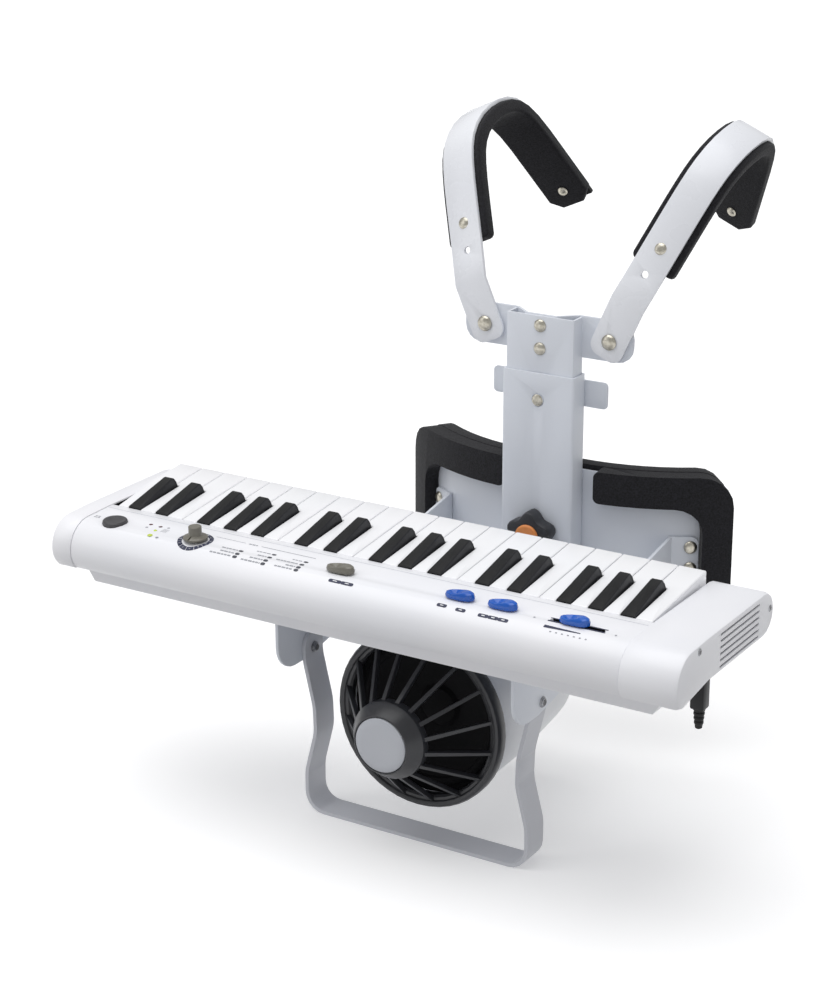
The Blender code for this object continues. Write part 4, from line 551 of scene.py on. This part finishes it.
def stack(shape, rings, matrix):
    """A closed solid through rings of (outline points, height), put in place by matrix."""
    loops = []
    for points, height in rings:
        verts = [shape.verts.new(matrix @ Vector((x, y, height))) for x, y in points]
        loops.append([shape.edges.new((verts[i - 1], verts[i])) for i in range(len(verts))])
    for lower, upper in zip(loops, loops[1:]):
        bmesh.ops.bridge_loops(shape, edges=lower + upper)
    bmesh.ops.holes_fill(shape, edges=loops[0])
    bmesh.ops.holes_fill(shape, edges=loops[-1])


def facing(point, direction, up=(0, 0, 1)):
    """A matrix whose local z is direction and whose local y leans towards up, at point."""
    z = Vector(direction).normalized()
    x = Vector(up).cross(z)
    if x.length < 1e-6:
        x = Vector((1, 0, 0))
    x.normalize()
    y = z.cross(x)
    return Matrix.Translation(Vector(point)) @ Matrix((x, y, z)).transposed().to_4x4()


def turned(shape, rings, segments, matrix):
    """A turned solid through rings of (radius, height)."""
    stack(shape, [(disc_points(radius, segments), height) for radius, height in rings], matrix)


def dome(shape, matrix, radius, height):
    """A rivet head: a low washer edge and a dome with a small flat on top."""
    rings = [(radius, 0.0), (radius, height * 0.22)]
    for step in range(1, 7):
        turn = math.radians(90) * step / 7
        rings.append((radius * 0.94 * math.cos(turn), height * (0.25 + 0.75 * math.sin(turn))))
    turned(shape, rings, 28, matrix)


def rounded_rectangle(width, height, radius, steps=5):
    points = []
    for cx, cy, start in ((1, 1, 0), (-1, 1, 90), (-1, -1, 180), (1, -1, 270)):
        for step in range(steps + 1):
            turn = math.radians(start + 90 * step / steps)
            points.append(
                (
                    cx * (width / 2 - radius) + radius * math.cos(turn),
                    cy * (height / 2 - radius) + radius * math.sin(turn),
                )
            )
    return points


def panel_z(y):
    """Height of the panel's skin over the flat part and round the nose."""
    if y >= NOSE_Y:
        return CHEEK_TOP_Z - PANEL_STEP - max(0.0, PANEL_CREASE_Y - y) * PANEL_SLOPE
    share = (y - NOSE_Y) / NOSE_DEPTH
    return NOSE_Z + NOSE_RISE * math.sqrt(max(0.0, 1 - share * share))


def print_on_panel(shape, outline, lift=0.0):
    """A thin mark with this outline (x, y) on the panel, or this far above it over another mark."""
    verts = [shape.verts.new((x, y, panel_z(y) + MARK_LIFT + lift)) for x, y in outline]
    grown = bmesh.ops.extrude_face_region(shape, geom=[shape.faces.new(verts)])
    top = [part for part in grown["geom"] if isinstance(part, bmesh.types.BMVert)]
    bmesh.ops.translate(shape, verts=top, vec=(0, 0, MARK_THICKNESS))


def moved(points, x, y):
    return [(px + x, py + y) for px, py in points]


def soft_copy(node, roundness):
    """A foam piece in the place of its CAD solid, with its cut edges rounded over."""
    shape = bmesh.new()
    shape.from_mesh(NODES[node].data)
    bmesh.ops.remove_doubles(shape, verts=shape.verts, dist=WELD_REACH * 2)
    flat = math.radians(1)
    bmesh.ops.dissolve_limit(shape, angle_limit=flat, verts=shape.verts, edges=shape.edges)
    edges = [e for e in shape.edges if e.is_manifold and e.calc_face_angle(0) > FOLD_ANGLE]
    bmesh.ops.bevel(
        shape,
        geom=edges,
        offset=roundness,
        offset_type="OFFSET",
        affect="EDGES",
        segments=4,
        profile=0.5,
        clamp_overlap=True,
        material=-1,
    )
    return shape


def add_foam(name, node, body, roundness, material):
    foam = add_piece(name, soft_copy(node, roundness), material, body, 60)
    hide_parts(node)


def strap_place(side):
    """From the strap's own plane (across, behind, along) to its place on the wing bracket."""
    pivot = Vector((side * STRAP_PIVOT[0], STRAP_PIVOT[1], STRAP_PIVOT[2]))
    return Matrix.Translation(pivot) @ Matrix.Rotation(side * STRAP_LEAN, 4, "Y")


def strap_point(side, behind, along):
    """On the strap's own plane, where it leans inwards the further it runs behind its pivot."""
    return Vector((-side * STRAP_TOE_IN * max(0.0, behind - STRAP_SHEET), behind, along))


def add_strap_rivets(finishes):
    """Each strap's pivot rivet, and the rivets through its foam, with a head on both faces."""
    for side, name in SIDES:
        place = strap_place(side)
        shape = bmesh.new()
        dome(shape, place @ facing((0.0, 0.0, 0.0), (0, -1, 0)), *PIVOT_RIVET)
        for (behind, along), direction, radius, height in STRAP_RIVETS:
            seat = facing(strap_point(side, behind, along), (0, *direction))
            dome(shape, place @ seat, radius, height)
        add_piece(f"strap_rivets_{name}", shape, finishes["rivet"], f"strap_{name}")


def under_case(x, y):
    """On the underside of the case at (x, y), facing down."""
    below = Vector((x, y, BELOW_CASE_Z))
    _, place, normal, _ = NODES["lower_case"].ray_cast(below, Vector((0, 0, 1)))
    return facing(place, normal, (0, 1, 0))


def cross_slot(shape, place, length, turn, low, high):
    """Two dark bars that paint the shade in a cross slot, turned by this many degrees."""
    bar = rounded_rectangle(length, CROSS_SLOT_WIDTH, CROSS_SLOT_WIDTH / 4, 2)
    for degrees in (turn, turn + 90):
        cross = place @ Matrix.Rotation(math.radians(degrees), 4, "Z")
        stack(shape, [(bar, low), (bar, high)], cross)


def add_base_fittings(finishes):
    """Rubber feet, sunk screws with painted shade in their cross slots, and the battery door's
    outline under the case.
    """
    feet, screws, crosses, door = bmesh.new(), bmesh.new(), bmesh.new(), bmesh.new()
    for x, y in BASE_FEET:
        turned(feet, BASE_FOOT_RINGS, 32, under_case(x, y))
    for x, y in BASE_SCREWS:
        place = under_case(x, y)
        turned(screws, BASE_SCREW_RINGS, 24, place)
        cross_slot(crosses, place, 0.0030, 25, 0.00036, 0.00048)
    x_low, x_high, y_low, y_high = BATTERY_DOOR
    x_middle, y_middle = (x_low + x_high) / 2, (y_low + y_high) / 2
    sides = [(x_middle, y, x_high - x_low, BATTERY_DOOR_SEAM) for y in (y_low, y_high)]
    sides += [(x, y_middle, BATTERY_DOOR_SEAM, y_high - y_low) for x in (x_low, x_high)]
    for x, y, length, depth in sides:
        outline = rounded_rectangle(length, depth, 0.0001, 1)
        stack(door, [(outline, -0.0001), (outline, 0.00006)], under_case(x, y))
    add_piece("base_feet", feet, finishes["knob"], "carrier")
    add_piece("base_screws", screws, finishes["screw"], "carrier")
    # Painted shade in the screws' cross slots
    add_piece("painted_base_screw_slot_shade", crosses, finishes["plug"], "carrier")
    add_piece("battery_door_seam", door, finishes["vent"], "carrier")


def add_strap_ends(finishes):
    """A thin black vinyl cap that hides each strap's bare rear end past the foam."""
    for side, name in SIDES:
        shape = bmesh.new()
        shape.from_mesh(NODES[f"strap_{name}"].data)
        bmesh.ops.remove_doubles(shape, verts=shape.verts, dist=WELD_REACH * 2)
        place = strap_place(side)
        limit = place @ Vector((0.0, 0.0, STRAP_CAP_ALONG))
        up = place.to_3x3() @ Vector((0.0, 0.0, 1.0))
        start = Vector((0.0, STRAP_PIVOT[1] + STRAP_CAP_BEHIND, 0.0))
        for point, outwards in ((limit, up), (start, (0.0, -1.0, 0.0))):
            whole = shape.verts[:] + shape.edges[:] + shape.faces[:]
            bmesh.ops.bisect_plane(
                shape, geom=whole, plane_co=point, plane_no=outwards, clear_outer=True
            )
        bmesh.ops.recalc_face_normals(shape, faces=shape.faces)
        bmesh.ops.solidify(shape, geom=shape.faces[:], thickness=-STRAP_CAP_WALL)
        add_piece(f"strap_end_cap_{name}", shape, finishes["plug"], f"strap_{name}", 50)


def add_carrier_rivets(finishes):
    """The rivets through the post, with a head on both faces, and those in the rear flanges."""
    post = bmesh.new()
    front_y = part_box("column_post")[0].y
    for z in POST_RIVET_Z:
        dome(post, facing((0.0, front_y, z), (0, -1, 0)), *POST_RIVET)
        behind = Vector((0.0, 0.1, z))
        _, place, normal, _ = NODES["column_post"].ray_cast(behind, Vector((0, -1, 0)))
        dome(post, facing(place, normal), *POST_RIVET_TAIL)
    add_piece("post_rivets", post, finishes["rivet"], "column_post")
    carrier = bmesh.new()
    for side, _ in SIDES:
        for z in FLANGE_RIVET_Z:
            dome(carrier, flange_place(side, FLANGE_RIVET_ALONG, z), *FLANGE_RIVET)
    add_piece("flange_rivets", carrier, finishes["rivet"], "carrier")


def flange_place(side, along, z):
    """On the front of the bent rear flange, this far along the bend from the middle."""
    turn = (along - BELLY_FLAT) / BELLY_RADIUS
    reach = BELLY_RADIUS + SHEET + GAP
    x = side * (BELLY_FLAT + reach * math.sin(turn))
    y = BELLY_PLATE_Y + BELLY_RADIUS - reach * math.cos(turn)
    return facing((x, y, z), (side * math.sin(turn), -math.cos(turn), 0))


def add_foot_screws(finishes):
    """A socket-head screw at both ends of each foot pivot, with painted shade in its socket."""
    heads, sockets = bmesh.new(), bmesh.new()
    for side, _ in SIDES:
        for x, direction in ((ARM_OUTER_X, side), (PIN_TIP_X, -side)):
            place = facing((side * x, FOOT_PIVOT_Y, FOOT_PIVOT_Z), (direction, 0, 0))
            turned(heads, FOOT_SCREW_RINGS, 28, place)
            turned(sockets, FOOT_SOCKET_RINGS, 6, place)
    add_piece("foot_screws", heads, finishes["screw"], "carrier")
    # Painted shade: a dark hexagon in each socket
    add_piece("painted_foot_screw_socket_shade", sockets, finishes["dark"], "carrier")


def add_latch_head(finishes):
    """The bare metal end of the latch pin in the front of the sleeve."""
    front_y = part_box("height_latch")[0].y
    shape = bmesh.new()
    dome(shape, facing((0.0, front_y + 0.0002, LATCH_PIN_Z), (0, -1, 0)), *LATCH_PIN_END)
    add_piece("latch_pin_end", shape, finishes["rivet"], "height_latch")


def add_vent_shadows(finishes):
    """Painted shade: dark plates in the vent slots of the case's low end, where shade falls."""
    shape = bmesh.new()
    bar = rounded_rectangle(VENT_LENGTH - 0.0002, VENT_WIDTH - 0.0001, 0.0003, 2)
    for index in range(VENT_SLOTS):
        z = VENT_TOP_Z - index * VENT_PITCH - VENT_WIDTH / 2
        middle = (CASE_RIGHT_X - VENT_DEPTH, VENT_FRONT_Y + VENT_LENGTH / 2, z)
        stack(shape, [(bar, 0.00005), (bar, 0.0006)], facing(middle, (1, 0, 0)))
    add_piece("painted_vent_shadows", shape, finishes["vent"], "carrier")


def add_key_bed_felt(finishes):
    """Painted shade: a thin dark sheet on the high cheek's inner wall, beside the highest key."""
    width, height, thickness = CHEEK_SHADE_SIZE
    middle = (PANEL_LEFT_X + 0.00004, CHEEK_SHADE_START_Y + width / 2, CHEEK_SHADE_TOP_Z - height / 2)
    outline = rounded_rectangle(width, height, 0.0008, 3)
    shape = bmesh.new()
    stack(shape, [(outline, 0.0), (outline, thickness)], facing(middle, (1, 0, 0)))
    add_piece("painted_cheek_wall_shade", shape, finishes["driver"], "carrier")


def add_clamp_cap(finishes):
    """The orange cap in the middle of the clamp knob, with a shallow dished face."""
    front_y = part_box("column_knob")[0].y
    shape = bmesh.new()
    turned(shape, CLAMP_CAP_RINGS, 36, facing((0.0, front_y, CLAMP_Z), (0, -1, 0)))
    add_piece("clamp_cap", shape, finishes["orange"], "column_knob")


def add_hub_disc(finishes):
    """The plain disc set into the grille's hub."""
    place = facing((0.0, HUB_FRONT_Y + HUB_DISC_SINK, SPEAKER_Z), (0, -1, 0))
    shape = bmesh.new()
    turned(shape, HUB_DISC_RINGS, 56, place)
    add_piece("hub_disc", shape, finishes["hub"], "carrier", 60)


def add_end_screws(finishes):
    """Two recessed cross-head screws in the case's low end, with painted shade in their slots."""
    heads, slots = bmesh.new(), bmesh.new()
    for y, z in END_SCREWS:
        place = facing((CASE_RIGHT_X - 0.0002, y, z), (1, 0, 0))
        turned(heads, END_SCREW_RINGS, 24, place)
        cross_slot(slots, place, 0.0026, 20, 0.00055, 0.00068)
    add_piece("end_screws", heads, finishes["screw"], "carrier")
    # Painted shade in the screws' cross slots
    add_piece("painted_end_screw_slot_shade", slots, finishes["dark"], "carrier")


def bar_mark(shape, x, y, width, height, radius):
    print_on_panel(shape, moved(rounded_rectangle(width, height, radius, 3), x, y))


def streak(shape, x_from, x_to, y, height, seed):
    """A row of short printed dashes, uneven in length."""
    x = x_from
    step = 0
    while x < x_to - DASH_LEAST:
        length = DASH_SHORTEST + DASH_SPREAD * ((seed * 7 + step * 5) % 4) / 3
        length = min(length, x_to - x)
        bar_mark(shape, x + length / 2, y, length, height, height * 0.25)
        x += length + DASH_GAP
        step += 1


def add_panel_lists(finishes):
    """Rows of plain dashes right of the knob, each with an oval at its end, and their headings."""
    pale, dark = bmesh.new(), bmesh.new()
    seed = 1
    for x, rows, lengths in LIST_COLUMNS:
        for y, length in zip(rows, lengths):
            bar_mark(dark, x, y, *LIST_OVAL)
            streak(pale, x - LIST_OVAL_GAP - length, x - LIST_OVAL_GAP, y, 0.0010, seed)
            seed += 1
    for x, width, height, radius in HEADING_RULES:
        bar_mark(pale, x, HEADING_Y, width, height, radius)
    streak(pale, -0.1060, -0.0995, HEADING_Y, 0.0013, 3)
    for row in range(2):
        streak(pale, -0.2215, -0.2165, -0.2140 - 0.0020 * row, 0.0009, row)
    add_piece("panel_list_print", pale, finishes["mark_grey"], "carrier")
    add_piece("panel_list_ovals", dark, finishes["ink"], "carrier")


def add_panel_tags(finishes):
    """Tags below the slide knobs, the volume wedge with its ticks, and painted shade along its
    slot's edges.
    """
    navy_marks_and_slot_shade, dashes, small = bmesh.new(), bmesh.new(), bmesh.new()
    for index, (x, y, width) in enumerate(TAGS):
        tag = rounded_rectangle(width, TAG_HEIGHT, 0.0009, 3)
        dash = rounded_rectangle(width * 0.34, 0.0005, 0.0002, 2)
        print_on_panel(navy_marks_and_slot_shade, moved(tag, x, y), TAG_OVERLAP * (index % 2))
        print_on_panel(dashes, moved(dash, x, y), MARK_THICKNESS * 2)
    print_on_panel(navy_marks_and_slot_shade, VOLUME_WEDGE)
    count, first_x, pitch, y = VOLUME_TICKS
    for step in range(count):
        bar_mark(small, first_x + pitch * step, y, 0.0012, 0.0007, 0.0002)
    # Painted shade: dark bands along both sides of the volume slot
    edge = rounded_rectangle(VOLUME_SLOT_LENGTH, VOLUME_SLOT_EDGE, 0.0004, 3)
    for side, _ in SIDES:
        edge_y = CONTROL_ROW_Y + side * (VOLUME_SLOT_WIDTH / 2 + 0.0006)
        print_on_panel(navy_marks_and_slot_shade, moved(edge, VOLUME_SLOT_X, edge_y))
    for x, y in VOLUME_ENDS:
        print_on_panel(small, moved(disc_points(0.0007, 16), x, y))
    for x in (MODE_X, OCTAVE_X, TONE_X):
        for step in (-1, 0, 1):
            bar_mark(small, x + SWITCH_DOT_PITCH * step, SWITCH_DOTS_Y, 0.0013, 0.0008, 0.00024)
    add_piece("panel_tags_and_painted_slot_shade", navy_marks_and_slot_shade, finishes["navy_ink"], "carrier")
    add_piece("panel_tag_print", dashes, finishes["pale_ink"], "carrier")
    add_piece("panel_dots", small, finishes["mark_grey"], "carrier")


def add_slot_lining(finishes):
    """Painted shade: thin black strips on both long walls of the volume slot."""
    slot_shade_strips = bmesh.new()
    strip = rounded_rectangle(VOLUME_SLOT_LENGTH - 0.0036, 0.00012, 0.00003, 1)
    for side, _ in SIDES:
        wall_y = CONTROL_ROW_Y + side * (VOLUME_SLOT_WIDTH / 2 - 0.00007)
        outline = moved(strip, VOLUME_SLOT_X, wall_y)
        top_z = panel_z(wall_y)
        rings = [(outline, top_z - VOLUME_SLOT_SHADE_DEPTH), (outline, top_z + 0.00008)]
        stack(slot_shade_strips, rings, Matrix.Identity(4))
    add_piece("painted_volume_slot_shade", slot_shade_strips, finishes["plug"], "carrier")


def number_mesh(shape, number, place):
    """Adds a printed number to the shape, with its place in its mesh."""
    data = bpy.data.curves.new(f"number_{number}", "FONT")
    data.body = str(number)
    data.size = KNOB_NUMBER_SIZE
    data.align_x = "CENTER"
    data.align_y = "CENTER"
    data.extrude = 0.00004
    data.resolution_u = 2
    words = bpy.data.objects.new(f"number_{number}", data)
    mesh = bpy.data.meshes.new_from_object(words)
    mesh.transform(place)
    shape.from_mesh(mesh)
    bpy.data.objects.remove(words)
    bpy.data.meshes.remove(mesh)


def add_knob_ring(finishes):
    """The scale round the rotary knob: dark cells with plain numbers, read from the keys' side."""
    cells, numbers = bmesh.new(), bmesh.new()
    inner, outer = KNOB_RING
    middle_radius = (inner + outer) / 2
    for index in range(KNOB_NUMBERS):
        middle = RING_START + RING_PITCH * index
        start = middle - RING_CELL / 2
        for step in range(RING_STEPS):
            first = math.radians(start + RING_CELL * step / RING_STEPS)
            second = math.radians(start + RING_CELL * (step + 1) / RING_STEPS)
            outline = [
                (VOICE_X + r * math.cos(t), CONTROL_ROW_Y + r * math.sin(t))
                for r, t in ((outer, first), (outer, second), (inner, second), (inner, first))
            ]
            print_on_panel(cells, outline)
        turn = math.radians(middle)
        x = VOICE_X + middle_radius * math.cos(turn)
        y = CONTROL_ROW_Y + middle_radius * math.sin(turn)
        place = Matrix.Translation(Vector((x, y, panel_z(y) + 0.00020)))
        number_mesh(numbers, index + 1, place @ Matrix.Rotation(turn + math.radians(90), 4, "Z"))
    bmesh.ops.remove_doubles(cells, verts=cells.verts, dist=0.000001)
    add_piece("knob_ring", cells, finishes["navy_ink"], "carrier")
    add_piece("knob_numbers", numbers, finishes["pale_ink"], "carrier")


def add_lamps(finishes):
    """The lamp and the symbol dots between the power button and the knob."""
    for name, dots in LAMPS.items():
        shape = bmesh.new()
        height = 0.0006 if name == "led" else 0.00012
        for x, y, radius in dots:
            place = Matrix.Translation(Vector((x, y, panel_z(y))))
            rings = ((radius, 0.0), (radius, height * 0.4), (radius * 0.6, height))
            turned(shape, rings, 20, place)
        add_piece(f"panel_{name}_dots", shape, finishes[name], "carrier")
    grid = bmesh.new()
    for step in range(4):
        bar_mark(grid, -0.1658, -0.2122 - 0.0013 * step, 0.0046, 0.00025, 0.0001)
    add_piece("panel_grid", grid, finishes["mark_grey"], "carrier")


def add_panel_seams(finishes):
    """Painted shade along the faint step across the panel behind the controls."""
    shape = bmesh.new()
    middle = (PANEL_LEFT_X + PANEL_RIGHT_X) / 2
    bar_mark(shape, middle, PANEL_CREASE_Y, PANEL_RIGHT_X - PANEL_LEFT_X - 0.002, 0.00025, 0.0001)
    add_piece("painted_panel_crease_shade", shape, finishes["crease_shade"], "carrier")


def make_camera():
    data = bpy.data.cameras.new("photo_camera")
    data.sensor_fit = "VERTICAL"
    data.sensor_height = SENSOR_HEIGHT
    data.lens = FOCAL_PIXELS / PHOTO_HEIGHT * SENSOR_HEIGHT
    data.clip_end = VIEW_REACH
    camera = bpy.data.objects.new("photo_camera", data)
    bpy.context.scene.collection.objects.link(camera)
    camera.location = CAMERA_PLACE
    camera.rotation_euler = (math.radians(90) - CAMERA_DIP, 0.0, CAMERA_TURN)
    bpy.context.scene.camera = camera


def add_light(data, direction, place=(0.0, 0.0, 0.0)):
    lamp = bpy.data.objects.new(data.name, data)
    bpy.context.scene.collection.objects.link(lamp)
    lamp.location = place
    lamp.rotation_euler = Vector(direction).to_track_quat("-Z", "Y").to_euler()


def studio_piece(name, shape, material_name, base, glow, **constants):
    """A stage piece whose glow the camera sees, while the part's matt surfaces don't."""
    mesh = bpy.data.meshes.new(name)
    shape.to_mesh(mesh)
    shape.free()
    piece = bpy.data.objects.new(name, mesh)
    bpy.context.scene.collection.objects.link(piece)
    made, _, shader, _ = start_material(material_name, base, **constants)
    shader.inputs["Emission Color"].default_value = WHITE
    shader.inputs["Emission Strength"].default_value = glow
    mesh.materials.append(made)
    piece.visible_diffuse = False
    return piece


def make_studio():
    floor_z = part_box("foot_bar")[0].z - FLOOR_DROP
    sheet = bmesh.new()
    bmesh.ops.create_grid(sheet, x_segments=2, y_segments=2, size=FLOOR_HALF)
    bmesh.ops.translate(sheet, verts=sheet.verts, vec=(0, 0, floor_z))
    matt = {"Roughness": 0.9, "Specular_IOR_Level": 0.1}
    floor = studio_piece("floor", sheet, "floor_paper", "#F4F4F5", FLOOR_GLOW, **matt)
    surround = bmesh.new()
    bmesh.ops.create_icosphere(surround, subdivisions=4, radius=BACKDROP_RADIUS)
    dull = {"Roughness": 1.0, "Specular_IOR_Level": 0.0}
    backdrop = studio_piece("backdrop", surround, "backdrop_cloth", "#000000", 1.0, **dull)
    backdrop.visible_glossy = False
    backdrop.visible_shadow = False
    world = bpy.data.worlds.new("studio")
    bpy.context.scene.world = world
    world.use_nodes = True
    sky = world.node_tree.nodes["Background"]
    sky.inputs["Color"].default_value = WHITE
    sky.inputs["Strength"].default_value = SKY_STRENGTH
    bpy.context.scene.view_settings.view_transform = "Standard"
    sun = bpy.data.lights.new("soft_sun", "SUN")
    sun.energy = SUN_STRENGTH
    sun.angle = SUN_SPREAD
    add_light(sun, SUN_DIRECTION)
    softbox = bpy.data.lights.new("left_softbox", "AREA")
    softbox.shape = "RECTANGLE"
    softbox.size, softbox.size_y = SOFTBOX_SIZE
    softbox.energy = SOFTBOX_POWER
    add_light(softbox, Vector(SOFTBOX_TARGET) - Vector(SOFTBOX_PLACE), SOFTBOX_PLACE)


finishes = make_materials()
dress_nodes(finishes)
make_camera()
make_studio()
add_foam("belly_foam", "belly_pad", "carrier", BELLY_FOAM_ROUND, finishes["foam"])
for _, wing in SIDES:
    pad, foam_body = f"strap_pad_{wing}", f"strap_{wing}"
    add_foam(f"strap_foam_{wing}", pad, foam_body, STRAP_FOAM_ROUND, finishes["foam"])
add_strap_rivets(finishes)
add_base_fittings(finishes)
add_strap_ends(finishes)
add_carrier_rivets(finishes)
add_foot_screws(finishes)
add_latch_head(finishes)
add_vent_shadows(finishes)
add_key_bed_felt(finishes)
add_clamp_cap(finishes)
add_hub_disc(finishes)
add_end_screws(finishes)
add_panel_lists(finishes)
add_slot_lining(finishes)
add_panel_tags(finishes)
add_knob_ring(finishes)
add_lamps(finishes)
add_panel_seams(finishes)
